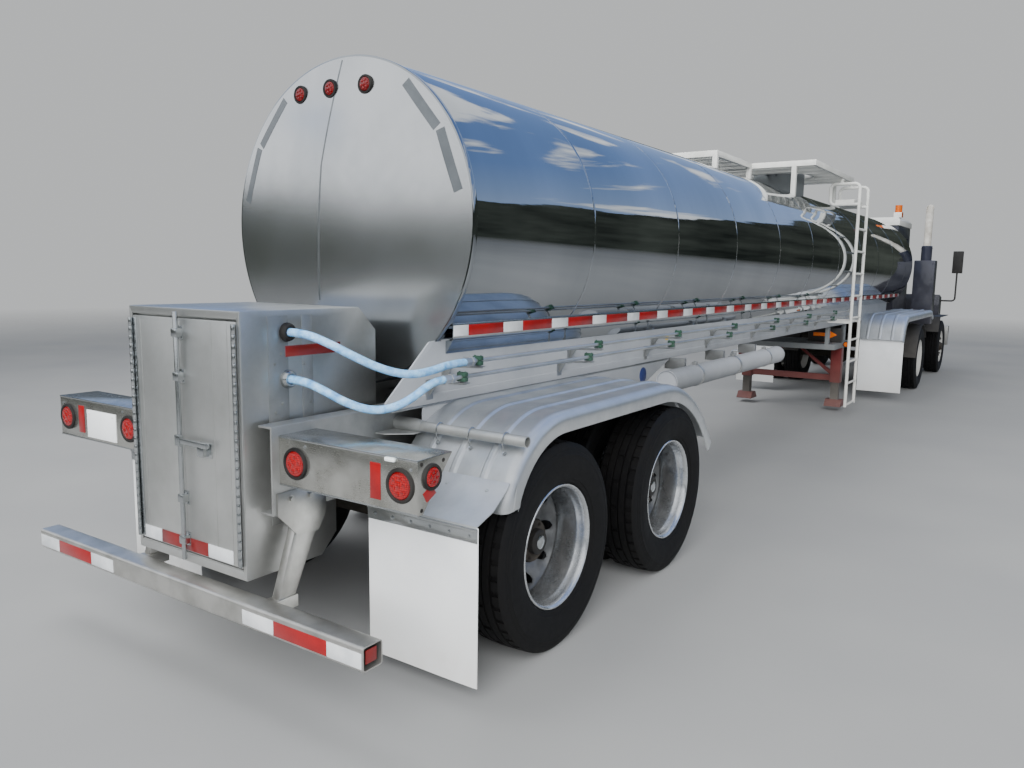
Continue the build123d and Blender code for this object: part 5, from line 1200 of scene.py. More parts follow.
@dataclass
class Cabinet(Assembly):
    """Pump cabinet of brushed sheet: strip frame, two doors on long hinges, lock rod, glands and tape."""

    rear: float = 0.1
    left: float = 0.396
    right: float = -0.372
    low: float = 0.495
    high: float = 1.608
    door_low: float = 0.545
    door_high: float = 1.566
    meeting: float = 0.044
    hinge_x: float = 0.088
    hinge_knuckles: int = 26
    door_margin: float = 0.024

    def build(self) -> None:
        """Make every piece of the cabinet."""
        self.lorry.clad("cabinet", "cabinet_sheet", 3 * MM)
        self.lorry.clad("cabinet_outlet", "pipe_steel", 2 * MM)
        self.frame_strips()
        self.side_details()
        self.glands()
        self.leaf("left", self.meeting + 0.004, self.left - self.door_margin, -1)
        self.leaf("right", self.right + self.door_margin, self.meeting - 0.004, 1)
        self.lock_rod()

    def frame_strips(self) -> None:
        """Mitred flat strips round the door opening."""
        form = Form()
        wide = 0.021
        x0, x1 = self.rear + 0.0005, self.rear + 0.006
        outer = (self.right + 0.001, self.left - 0.001, self.low + 0.002, self.high - 0.002)
        inner = (self.right + wide, self.left - wide, self.door_low - 0.011, self.door_high + 0.011)
        sides = ((0, 2, 0, 3), (0, 3, 1, 3), (1, 3, 1, 2), (1, 2, 0, 2))
        for a, b, c, d in sides:
            outline = [(outer[a], outer[b]), (outer[c], outer[d]), (inner[c], inner[d]),
                       (inner[a], inner[b])]
            form.plate(outline, x0, x1, Axis.X, 1.2 * MM)
        form.finish("cabinet_strips", "door_sheet", "cabinet_steel")

    def leaf(self, tag: str, low_y: float, high_y: float, inward: int) -> None:
        """One door leaf: a folded pan with its seams, edge flanges and piano hinge.

        Args:
            tag: left or right.
            low_y: its right edge.
            high_y: its left edge.
            inward: which way along y the leaf runs from its hinge.
        """
        body = Body(f"cabinet_door_{tag}")
        hinge_y = low_y if inward > 0 else high_y
        x0, x1 = self.rear, self.rear + 0.025
        sheet = Form().box((x0, low_y, self.door_low), (x1, high_y, self.door_high), 4 * MM)
        folds = [(low_y + 0.012, 4 * MM), (high_y - 0.012, 4 * MM), (hinge_y + inward * 0.058, 1.5 * MM)]
        if tag == "right":
            folds.append((low_y + 0.16, 1.5 * MM))
        for y, half in folds:
            sheet.box((x0 - 1.4 * MM, y - half, self.door_low + 0.008), (x0 + MM, y + half,
                    self.door_high - 0.008), 1.0 * MM)
        sheet.finish(f"cabinet_leaf_{tag}", "door_sheet", "cabinet_steel", [f"cabinet_door_{tag}"],
                     body=body)
        hinge = Form()
        start, stop = self.door_low + 0.01, self.door_high - 0.01
        pitch = (stop - start) / self.hinge_knuckles
        for number in range(self.hinge_knuckles):
            z = start + number * pitch
            hinge.rod((self.hinge_x, hinge_y, z + 0.6 * MM), (self.hinge_x, hinge_y, z + pitch - 0.6 * MM),
                      8.5 * MM, sides=14, bevel=0.8 * MM)
        hinge.box((x0 - 3.5 * MM, hinge_y, start), (x0 + MM, hinge_y + inward * 0.03, stop), 0.8 * MM)
        hinge.box((self.hinge_x, hinge_y - 1.5 * MM, start), (x0, hinge_y + 1.5 * MM, stop), 0.5 * MM)
        for number in range(9):
            z = start + 0.04 + number * (stop - start - 0.08) / 8
            hinge.rivet((x0 - 3.5 * MM, hinge_y + inward * 0.02, z), (-1, 0, 0), 4 * MM)
        hinge.finish(f"cabinet_hinge_{tag}", "bright_steel", "cabinet_steel", body=body)
        self.door_tape(tag, body)

    def door_tape(self, tag: str, body: Body) -> None:
        """Red and white tape across the foot of a door."""
        rows = {"left": ((0.217, 0.352, "tape_white"), (0.058, 0.215, "tape_dull_red")),
                "right": ((-0.12, 0.036, "tape_dull_red"), (-0.289, -0.122, "tape_white"))}
        for number, (start, end, finish) in enumerate(rows[tag]):
            tape = Form().box((self.rear - 2.6 * MM, start, 0.551), (self.rear + MM, end, 0.609), 0.5 * MM)
            tape.finish(f"door_tape_{tag}_{number}", finish, "cabinet_steel", body=body)

    def lock_rod(self) -> None:
        """Lock rod on the right door with keepers, cams, handle and hasp."""
        form = Form()
        x, y = self.rear - 0.022, self.meeting - 0.024
        face = self.rear
        form.rod((x, y, self.door_low - 0.028), (x, y, self.door_high + 0.028), 10.5 * MM, sides=20,
                 bevel=MM)
        for z in (self.door_low + 0.06, self.door_high - 0.06, 1.32, 0.79):
            form.box((x - 13 * MM, y - 19 * MM, z - 19 * MM), (face, y + 19 * MM, z + 19 * MM), 5 * MM)
            for side in (-1, 1):
                y0, y1 = y + side * 18 * MM, y + side * 20 * MM
                form.box((face - 4 * MM, y0, z - 30 * MM), (face + MM, y1, z + 30 * MM), 0.6 * MM)
                form.rivet((face - 4 * MM, y - 12 * MM, z + side * 25 * MM), (-1, 0, 0), 4 * MM)
            form.box((face - 3 * MM, y - 19 * MM, z - 31 * MM), (face + MM, y + 19 * MM, z + 31 * MM), MM)
        middle = 1.046
        form.box((x - 15 * MM, y - 0.197, middle - 12 * MM), (x - 7 * MM, y + 0.012, middle + 12 * MM),
                 3 * MM)
        form.rod((x - 12 * MM, y - 0.197, middle), (x - 4 * MM, y - 0.197, middle), 13 * MM, sides=20,
                 bevel=2 * MM)
        form.box((x - 17 * MM, y - 0.016, middle - 24 * MM), (x + 6 * MM, y + 0.016, middle + 24 * MM),
                 3 * MM)
        form.box((x - 12 * MM, y - 0.172, middle - 0.052), (face, y - 0.13, middle - 0.01), 4 * MM)
        form.box((face - 4 * MM, y - 0.19, middle - 0.06), (face + MM, y - 0.112, middle + 0.004), MM)
        form.finish("lock_rod", "bright_steel", "cabinet_steel", body=Body.RIGHT_DOOR)

    def side_details(self) -> None:
        """Bolted strips and tape on the right and left walls."""
        for side, wall in ((-1, self.right), (1, self.left)):
            tag = "right" if side < 0 else "left"
            strips = Form()
            y0, y1 = wall - side * MM, wall + side * 1.5 * MM
            for x_low, x_high, bolts in ((0.235, 0.34, (1.385, 1.425, 1.18, 1.215)),
                    (0.415, 0.475, (1.375, 1.205))):
                strips.box((x_low, y0, 0.7), (x_high, y1, 1.585), 0.6 * MM)
                for number, z in enumerate(bolts):
                    x = (x_low + x_high) / 2 + (number % 2 - 0.5) * 0.034
                    strips.bolt((x, wall + side * 1.4 * MM, z), (0, side, 0), 11 * MM, 6 * MM)
            strips.finish(f"cabinet_side_strips_{tag}", "frame_steel", "cabinet_steel")
            tape = Form()
            y0, y1 = wall - side * MM, wall + side * 2.4 * MM
            tape.box((0.325, y0, 1.411), (0.637, y1, 1.457), 0.5 * MM)
            tape.finish(f"cabinet_side_tape_{tag}", "tape_dull_red", "cabinet_steel")

    def glands(self) -> None:
        """Rubber grommet round the upper hose and polished ring round the lower one."""
        wall = self.right
        rubber, steel = Form(), Form()
        for z, form in ((1.515, rubber), (1.317, steel)):
            form.turned([(-2 * MM, 0.019), (0.022, 0.019), (0.026, 0.022), (0.026, 0.03), (0.02, 0.036),
                         (0.006, 0.04), (-2 * MM, 0.041)], (0.335, wall, z), (0, -1, 0), 40, closed=True)
        rubber.finish("upper_gland", "seal_rubber", "cabinet_steel")
        steel.finish("lower_gland", "bright_steel", "cabinet_steel")


@dataclass
class RearEnd(Assembly):
    """Bumper, lamp boxes and lamps."""

    bumper_half: float = 1.123
    bumper_low: float = 0.362
    bumper_high: float = 0.459
    bumper_depth: float = 0.103
    box_rear: float = 0.186
    box_low: float = 0.907
    box_high: float = 1.113
    half_width: float = 1.22

    def build(self) -> None:
        """Make every piece of the rear end."""
        self.lorry.clad("lamp_boxes", "lamp_box_steel", 4 * MM)
        self.bumper()
        self.lamps()
        self.plates()

    def bumper(self) -> None:
        """Bumper tube with round corners and open ends, its struts, foot plates and tape."""
        tube = Form()
        part = bmesh.new()
        low, high = self.bumper_low, self.bumper_high
        corner, wall = 0.014, 0.006
        outline = []
        near = corner + 2.2 * MM
        for cx, cz, turn in ((self.bumper_depth - corner, high - corner, 0), (near, high - corner, 90),
                (near, low + corner, 180), (self.bumper_depth - corner, low + corner, 270)):
            outline += arc((cx, cz), corner, turn, turn + 90, 4)
        loop = [part.verts.new((x, -self.bumper_half, z)) for x, z in outline]
        edges = [part.edges.new(pair) for pair in zip(loop, loop[1:] + loop[:1])]
        run = bmesh.ops.extrude_edge_only(part, edges=edges)
        moved = [g for g in run["geom"] if isinstance(g, bmesh.types.BMVert)]
        bmesh.ops.translate(part, vec=(0, 2 * self.bumper_half, 0), verts=moved)
        tube.sheet(part, wall, Axis.Z)
        strut = [(0.15, 0.38), (0.242, 0.38), (0.381, 0.67), (0.4, 0.7797), (0.286, 0.7797)]
        plate = [(0.167, 0.873), (0.167, 0.78), (0.262, 0.68), (0.381, 0.67), (0.428, 0.742), (0.428, 0.873)]
        foot = [(0.102, 0.368), (0.263, 0.368), (0.263, 0.422), (0.102, 0.422)]
        for side in (-1, 1):
            tube.plate(strut, side * 0.4373, side * 0.4853, Axis.Y, 12 * MM)
            tube.plate(plate, side * 0.4853, side * 0.4933, Axis.Y, MM)
            tube.plate(foot, side * 0.4273, side * 0.493, Axis.Y, 3 * MM)
            for x, z in ((0.235, 0.839), (0.336, 0.835)):
                tube.bolt((x, side * 0.4933, z), (0, side, 0), 24 * MM, 12 * MM)
        tube.finish("bumper_tube", "bumper_steel", "frame_steel", ["rear_bumper"])
        rows = (("white", 0.464, 0.65), ("red", 0.65, 0.942), ("white", 0.942, 1.118))
        for number, (colour, start, end) in enumerate(rows):
            for side, tag in SIDES:
                tape = Form().box((0.2 * MM, side * (start + 0.0005), 0.377),
                        (3 * MM, side * (end - 0.0005), 0.436), 0.4 * MM)
                tape.finish(f"bumper_tape_{number}_{tag}", f"tape_{colour}", "frame_steel")
        ends = Form()
        for side in (-1, 1):
            end = side * (self.bumper_half - 0.012)
            ends.box((0.026, end, 0.385), (0.082, end + side * 0.004, 0.437), 0.5 * MM)
        ends.finish("bumper_end_tape", "tape_dull_red", "frame_steel")

    def lamps(self) -> None:
        """Tail and side lamps in rubber grommets, replacing the plain discs."""
        red = Form()
        lamp_z = (self.box_low + self.box_high) / 2
        for side in (-1, 1):
            for y in (0.586, 1.14):
                lamp = round_lamp((self.box_rear, side * y, lamp_z), (-1, 0, 0), 0.052, 0.066)
                red.copy_of(lamp)
            lamp = round_lamp((self.box_rear + 0.075, side * self.half_width, lamp_z + 0.03), (0, side, 0),
                    0.038, 0.05)
            red.copy_of(lamp)
        red.finish("tail_lamps", "lens_red seal_rubber", "red_lens", ["lamps"])

    def plates(self) -> None:
        """Reflectors, licence lamp and the blank plate on the lamp boxes."""
        face = self.box_rear
        for side, tag in SIDES:
            reflectors = Form()
            y0, y1 = side * 0.99, side * 1.042
            reflectors.box((face - 1.6 * MM, y0, 0.94), (face + MM, y1, 1.078), 0.5 * MM)
            outline = [(0.236, 0.949), (0.288, 0.975), (0.262, 1.01), (0.214, 0.985)]
            wall = side * self.half_width
            reflectors.plate(outline, wall - side * MM, wall + side * 1.5 * MM, Axis.Y, 0.5 * MM)
            reflectors.finish(f"lamp_box_reflectors_{tag}", "tape_red", "box_steel")
            trim = Form()
            inner, outer = side * 0.486, side * (self.half_width - MM)
            trim.box((face - 1.5 * MM, inner, self.box_high - 9 * MM), (face + 2 * MM, outer,
                    self.box_high - 0.5 * MM), MM)
            trim.box((face - 1.5 * MM, inner, self.box_low + 0.5 * MM), (face + 2 * MM, outer,
                    self.box_low + 7 * MM), MM)
            for y, z in ((1.19, 1.075), (1.165, 1.062), (0.64, 1.085)):
                trim.bolt((face, side * y, z), (-1, 0, 0), 9 * MM, 5 * MM)
            trim.finish(f"lamp_box_trim_{tag}", "bright_steel", "box_steel")
            # dark rubber discs flush with the side wall: painted shade that stands for open holes
            holes = Form()
            for x, z in ((0.207, 1.094), (0.33, 1.09), (0.208, 0.925)):
                holes.rod((x, side * (self.half_width - 4 * MM), z), (x, side *
                        (self.half_width + 0.4 * MM), z), 8 * MM, sides=20)
            holes.finish(f"lamp_box_painted_hole_shades_{tag}", "seal_rubber", "box_steel")
        licence = Form().box((face - 0.014, -1.12, self.box_high - 0.02),
                (face + MM, -1.07, self.box_high - 0.003), 6 * MM)
        licence.finish("licence_lamp", "lens_clear", "box_steel")
        plate = Form().box((face - 4 * MM, 0.7, 0.925), (face + MM, 0.96, 1.065), 2 * MM)
        for y in (0.725, 0.935):
            plate.bolt((face - 4 * MM, y, 1.05), (-1, 0, 0), 9 * MM, 5 * MM)
        plate.finish("blank_plate", "flap_white", "box_steel")


@dataclass
class Fenders(Assembly):
    """Ribbed aluminium fenders and the white flaps behind the wheels."""

    inner: float = 0.6003
    outer: float = 1.22
    wall: float = 0.004
    lip: float = 0.1

    def build(self) -> None:
        """Make fenders and flaps."""
        rear = self.path((0.753, 0.77, 1.238, 0.51, 163), (3.152, 0.717, 2.35, 0.95, 34), 1.148)
        front = self.path((10.75, 0.9, 11.19, 0.42, 160), (13.8, 1.19, 13.67, 0.13, 30), 1.25)
        self.fender("rear_fenders", rear)
        self.fender("front_fenders", front)
        self.cross_pipe()
        self.apron()
        for name, x, low, high in (("rear_flap", 0.556, 0.088, 0.766), ("front_flap", 10.825, 0.13, 0.995)):
            for side, tag in SIDES:
                self.flap(f"{name}_{tag}", x, side, low, high)

    def path(self, rear: tuple[float, ...], front: tuple[float, ...], top: float) -> list[Pair]:
        """Side outline of a fender from its rear end to its front end, as (x, z) points.

        Args:
            rear: the rear end's x and z, its shoulder's centre x and radius, and the angle it starts at.
            front: the same for the front end, with the angle it stops at.
            top: height of the flat top.

        Returns:
            The outline's points.
        """
        steps = 14
        end_x, end_z, centre, radius, first = rear
        points = [(end_x, end_z), *arc((centre, top - radius), radius, first, 90, steps)]
        end_x, end_z, centre, radius, last = front
        flat_end = points[-1][0]
        points += [(flat_end + (centre - flat_end) * share, top) for share in (0.25, 0.5, 0.75)]
        return [*points, *arc((centre, top - radius), radius, 90, last, steps), (end_x, end_z)]

    def section(self) -> list[Pair]:
        """Across the fender: three raised ribs and a rolled outer edge, as (y, height) points."""
        rib = ((0.026, 0.0), (0.021, 0.0), (0.017, 0.0035), (0.0135, 0.0075), (0.0095, 0.0095),
               (0.006, 0.0095))
        points = [(self.inner, -0.006), (self.inner + 0.001, 0.0)]
        for share in (0.2, 0.47, 0.74):
            middle = self.inner + (self.outer - self.inner) * share
            points += [(middle - half, height) for half, height in rib]
            points += [(middle + half, height) for half, height in reversed(rib)]
        edge, roll = self.outer - 0.0535, 0.05
        points += [(edge - 0.022, 0.0), (edge - 0.006, 0.0)]
        points += arc((edge, -roll), roll, 90, 0, 8)
        points += [(edge + roll, -self.lip + 0.01), (edge + roll - 0.003, -self.lip + 0.002),
                   (edge + roll - 0.01, -self.lip)]
        return points

    def fender(self, node: str, path: Sequence[Pair]) -> None:
        """One pair of fenders, drawn out along their side outline.

        Args:
            node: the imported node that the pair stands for.
            path: side outline.
        """
        part, section = bmesh.new(), self.section()
        across, along = len(section) - 1, len(path) - 1
        bmesh.ops.create_grid(part, x_segments=across, y_segments=along, size=0.5)
        for vert in part.verts:
            number = round((vert.co.y + 0.5) * along)
            y, height = section[round((vert.co.x + 0.5) * across)]
            run = (Vector(path[min(number + 1, along)]) - Vector(path[max(number - 1, 0)])).normalized()
            vert.co = (path[number][0] - run.y * height, y, path[number][1] + run.x * height)
        form = Form().sheet(part, self.wall, Axis.Z).mirrored()
        form.finish(f"{node}_ribbed", "fender_sheet", "fender_aluminium", [node])

    def cross_pipe(self) -> None:
        """Pipe across each fender with an open end, its bracket and three hooked clamps."""
        form, hooks = Form(), Form()
        x, z, radius = 0.891, 1.063, 0.0245
        form.turned([(0.486, radius - 4 * MM), (0.486, radius), (1.224, radius), (1.2245, radius - MM),
                     (1.2245, radius - 4 * MM), (1.18, radius - 4 * MM)], (x, 0, z), Axis.Y, 32)
        form.turned([(0.486, radius + MM), (0.486, radius + 9 * MM), (0.6, radius + 9 * MM),
                     (0.64, radius + 3 * MM), (0.64, radius)], (x, 0, z), Axis.Y, 32)
        form.plate([(x - 0.15, 0.486), (x - 0.15, 0.54), (x - 0.06, 0.64), (x + 0.02, 0.64),
                    (x + 0.04, 0.486)], z - radius - 6 * MM, z - radius, Axis.Z, MM)
        form.mirrored().finish("cross_pipes", "pipe_steel", "fender_aluminium")
        for y in (0.746, 0.929, 1.113):
            loop = [(x + 0.02 - 0.034, y, z - 0.058), (x - 0.03, y, z - 0.012)]
            loop += [(across, y, up) for across, up in arc((x, z), 0.0285, 190, -10, 8)]
            loop.append((x + 0.03, y, z - 0.012))
            hooks.wire(loop, 3.2 * MM, 10)
            hooks.bolt((x - 0.016, y, z - 0.06), (-0.7, 0, 0.7), 14 * MM, 7 * MM)
        hooks.mirrored().finish("pipe_clamps", "bright_steel", "fender_aluminium")

    def apron(self) -> None:
        """Folded plate across each fender's rear end, with its rivets."""
        form = Form()
        line = ((0.79, 0.902), (0.764, 0.874), (0.67, 0.808), (0.56, 0.772), (0.556, 0.764))
        back = [(x + 3 * MM, z - 4 * MM) for x, z in reversed(line)]
        form.plate([*line, *back], self.inner, 1.205, Axis.Y, 0.8 * MM)
        for y in (0.68, 0.9, 1.115):
            form.rivet((0.749, y, 0.8655), (-0.56, 0, 0.83), 8 * MM)
        form.mirrored().finish("fender_aprons", "fender_sheet", "fender_aluminium")

    def flap(self, name: str, x: float, side: int, low: float, high: float) -> None:
        """One white flap, slightly wavy, with its steel hanger strip and bolts."""
        y0, y1 = self.outer - 0.6043, self.outer - 0.0083
        part = bmesh.new()
        bmesh.ops.create_grid(part, x_segments=14, y_segments=18, size=0.5)
        for vert in part.verts:
            across, up = vert.co.x + 0.5, vert.co.y + 0.5
            bow = 0.5 + 0.5 * math.sin(across * 5.1 + up * 1.7 + x)
            sway = 1.0 - up
            vert.co = (x + 0.0022 + 0.0035 * bow * (0.25 + sway), y0 + (y1 - y0) * across,
                       low + (high - low) * up)
        sheet = Form().sheet(part, 4.0 * MM, (-1, 0, 0))
        if side < 0:
            sheet = Form().copy_of(sheet, MIRROR)
        sheet.finish(name, "flap_white", "white_rubber", ["mud_flaps"])
        strip = Form().box((x - 3 * MM, y0 + 0.001, high - 0.062), (x + 2 * MM, y1 - 0.001, high - 0.002), MM)
        strip.box((x - 8 * MM, y0 + 0.001, high - 0.014), (x + 2 * MM, y1 - 0.001, high - 0.002), MM)
        for number in range(6):
            y = y0 + 0.04 + number * (y1 - y0 - 0.08) / 5
            strip.bolt((x - 3 * MM, y, high - 0.036), (-1, 0, 0), 13 * MM, 6 * MM)
        if side < 0:
            strip = Form().copy_of(strip, MIRROR)
        strip.finish(f"{name}_strip", "bright_steel", "fender_aluminium")


@dataclass
class Flanks(Assembly):
    """What runs along the flanks: rail covers, cleaning lines in green clamps, hose tube and arrow lamp."""

    line_y: float = -0.8
    rail_y: float = -0.6003
    front: float = 9.05
    pitch: float = 1.2
    count: int = 7

    def build(self) -> None:
        """Make every piece along the flank."""
        self.rails()
        self.lines()
        self.clamps()
        self.hose_tube()
        self.arrow_lamp()

    def rails(self) -> None:
        """Polished cover above each rail, the rail's fold, its lower plate and two blank stickers."""
        cover, fold, blue, yellow = Form(), Form(), Form(), Form()
        y = -self.rail_y
        cover.plate([(0.652, 1.461), (0.628, 1.423), (y + 2 * MM, 1.383), (y, 1.383), (y, 1.445)], 1.11,
                    12.88, Axis.X, 0.5 * MM)
        fold.plate([(y - MM, 1.199), (y + 3.5 * MM, 1.196), (y + 3.5 * MM, 1.152), (y - MM, 1.152)], 0.742,
                   12.89, Axis.X, MM)
        fold.plate([(0.95, 0.985), (3.37, 0.985), (3.88, 1.1495), (0.95, 1.1495)], 0.586, 0.596, Axis.Y,
                   2 * MM)
        blue.rod((3.376, -y + 2.4 * MM, 1.062), (3.376, -y + 5.0 * MM, 1.062), 0.055, sides=40,
                 bevel=0.4 * MM)
        yellow.box((3.745, -y - 1.5 * MM, 1.292), (3.795, -y + MM, 1.338), 0.4 * MM)
        cover.mirrored().finish("rail_covers", "polished_jacket", "frame_steel")
        fold.mirrored().finish("rail_folds", "rail_enamel", "frame_steel")
        blue.finish("blue_blank", "label_blue", "frame_steel")
        yellow.finish("yellow_blank", "label_yellow", "frame_steel")

    def lines(self) -> None:
        """Two thin tubes with their unions at the rear and caps at the front."""
        form = Form()
        for rear, z in ((1.011, 1.364), (0.858, 1.298)):
            form.rod((rear, self.line_y, z), (self.front, self.line_y, z), 10 * MM, bevel=MM)
            form.turned([(0.0, 0.0), (0.0, 0.022), (0.018, 0.024), (0.02, 0.02), (0.046, 0.02),
                         (0.048, 0.023), (0.064, 0.023), (0.066, 0.012), (0.07, 0.0)],
                        (rear - 0.01, self.line_y, z), Axis.X, 6)
            form.turned([(-0.05, 0.0), (-0.05, 0.019), (-0.004, 0.019), (0.0, 0.017), (0.0, 0.0)],
                        (self.front, self.line_y, z), Axis.X, 20)
        form.finish("cleaning_lines", "pipe_steel", "box_steel", ["side_lines"])

    def clamps(self) -> None:
        """Split green blocks on both lines and the thin gussets that carry them on the rail."""
        blocks, gussets = Form(), Form()
        for number in range(self.count):
            x = 1.105 + number * self.pitch
            for place, z, foot in ((x, 1.364, 1.25), (x - 0.118, 1.298, 1.185)):
                for low, high in ((z - 0.022, z - MM), (z + MM, z + 0.022)):
                    blocks.box((place - 0.014, self.line_y - 0.024, low),
                               (place + 0.014, self.line_y + 0.024, high), 4 * MM)
                for y in (-0.017, 0.017):
                    blocks.bolt((place, self.line_y + y, z + 0.021), (0, 0, 1), 8 * MM, 5 * MM)
                gussets.plate([(self.rail_y, foot), (self.rail_y, z - 0.03),
                        (self.line_y - 0.026, z - 0.0265), (self.line_y - 0.026, z - 0.036),
                        (self.rail_y - 0.05, z - 0.044)], place - 2.5 * MM, place + 2.5 * MM, Axis.X,
                        0.8 * MM)
                gussets.box((place - 0.022, self.line_y - 0.028, z - 0.031),
                            (place + 0.022, self.line_y + 0.028, z - 0.0262), MM)
                gussets.box((place - 0.026, self.rail_y - 0.004, foot - 0.012),
                            (place + 0.026, self.rail_y, z - 0.028), MM)
        blocks.finish("line_clamps", "clamp_green", "box_steel")
        gussets.finish("line_gussets", "rail_steel", "box_steel")

    def hose_tube(self) -> None:
        """Long tube for the hose with a rolled mouth and a cap, in three straps below the rail."""
        form, straps = Form(), Form()
        y, z, radius, rear, front = -0.79, 1.03, 0.08, 3.35, 6.0
        form.turned([(rear + 0.012, 0.0), (rear + 0.012, radius - 0.006), (rear + 0.004, radius - 0.006),
                     (rear, radius - 0.003), (rear, radius), (rear + 0.02, radius),
                     (rear + 0.022, radius - MM), (front - 0.09, radius - MM), (front - 0.088, radius),
                     (front - 0.004, radius), (front, radius - 0.004), (front, 0.0)], (0, y, z), Axis.X, 48)
        form.finish("hose_tube", "rail_enamel", "box_steel")
        for number in range(3):
            x = rear + 0.5 + number * 0.85
            straps.turned([(x - 0.001, radius - MM), (x, radius + 2.5 * MM), (x + 0.04, radius + 2.5 * MM),
                    (x + 0.041, radius - MM)], (0, y, z), Axis.X, 40)
            straps.box((x, y + 0.074, z + 0.035), (x + 0.04, self.rail_y + 0.046, 1.1495), 2 * MM)
            straps.box((x, y - 0.02, z + radius + MM), (x + 0.04, y + 0.014, z + radius + 0.022), 2 * MM)
            straps.bolt((x + 0.02, y - 0.003, z + radius + 0.022), (0, 0, 1), 14 * MM, 8 * MM)
        straps.finish("hose_tube_straps", "rail_steel", "box_steel")

    def arrow_lamp(self) -> None:
        """Black turn lamp with an amber arrow on its rear face, and the round amber marker beside it."""
        box, lens, marker = Form(), Form(), Form()
        box.box((9.44, -0.65, 0.92), (9.56, -0.22, 1.11), 10 * MM)
        box.box((9.434, -0.64, 0.93), (9.446, -0.23, 1.1), 4 * MM)
        box.finish("arrow_lamp", "moulded_black", "red_lens")
        arrow = [(-0.29, 0.996), (-0.29, 1.044), (-0.5, 1.044), (-0.5, 1.072), (-0.595, 1.02),
                 (-0.5, 0.968), (-0.5, 0.996)]
        lens.plate(arrow, 9.429, 9.436, Axis.X, 1.5 * MM)
        lens.finish("arrow_lens", "lens_amber", "red_lens")
        marker.copy_of(round_lamp((9.44, -0.715, 0.9), (-1, 0, 0), 0.03, 0.04))
        marker.finish("amber_marker", "lens_amber seal_rubber", "red_lens")


@dataclass
class Heights(Assembly):
    """What stands high: slats of the walkway, left out round the manhole, and the tractor's exhaust."""

    manhole: Pair = (8.43, 0.41)
    stack: Pair = (14.41, -0.95)

    def build(self) -> None:
        """Make every piece."""
        self.slats()
        self.exhaust()

    def slats(self) -> None:
        """Slats across both platforms, left out round the manhole."""
        form = Form()
        low, high, step = 2.994, 3.064, 0.1
        for start, end, right, left in ((6.34, 7.42, 0.045, 0.595), (7.49, 9.38, -0.655, 0.655)):
            x = start
            while x < end:
                rows = [(right, left)]
                off = abs(x + 0.015 - self.manhole[0])
                if off < self.manhole[1] and right < 0:
                    reach = math.sqrt(self.manhole[1] ** 2 - off ** 2) + 0.012
                    rows = [(right, -reach), (reach, left)]
                for y0, y1 in rows:
                    form.box((x, y0, low), (x + 0.03, y1, high), 2 * MM)
                x += step
        form.finish("walkway_slats", "ladder_tube", "ladder_aluminium")

    def exhaust(self) -> None:
        """Bolted muffler guard, a dark collar and a bare stack cut slanting at its tip."""
        guard, stack = Form(), Form()
        x, y = self.stack
        guard.box((14.26, -1.12, 0.98), (14.56, -0.78, 2.11), 16 * MM)
        for height in (1.06, 1.42, 1.78, 2.05):
            for across in (-1.085, -0.815):
                guard.bolt((14.26, across, height), (-1, 0, 0), 17 * MM, 8 * MM)
            guard.bolt((14.41, -1.12, height), (0, -1, 0), 17 * MM, 8 * MM)
        guard.turned([(2.1, 0.0), (2.1, 0.089), (2.36, 0.089), (2.368, 0.08), (2.37, 0.0)], (x, y, 0.0),
                     Axis.Z, 40)
        for along, across in circle(0.088, 8):
            guard.bolt((x + along, y + across, 2.32), (along, across, 0), 12 * MM, 7 * MM)
        guard.finish("exhaust_guard", "cab_navy", self.lorry.slot_of("exhaust"), ["exhaust"],
                     body=Body.TRACTOR)
        profile = [(2.36, 0.057), (2.36, 0.062), (2.9, 0.062), (2.985, 0.062), (2.985, 0.057), (2.6, 0.057)]
        stack.turned(profile, (x, y, 0.0), Axis.Z, 48, closed=True)
        for corner in stack.mesh.verts:
            if corner.co.z > 2.95:
                corner.co.z += 0.9 * (corner.co.x - x) + 0.06
        stack.finish("exhaust_stack", "stack_steel", self.lorry.slot_of("exhaust"), body=Body.TRACTOR)


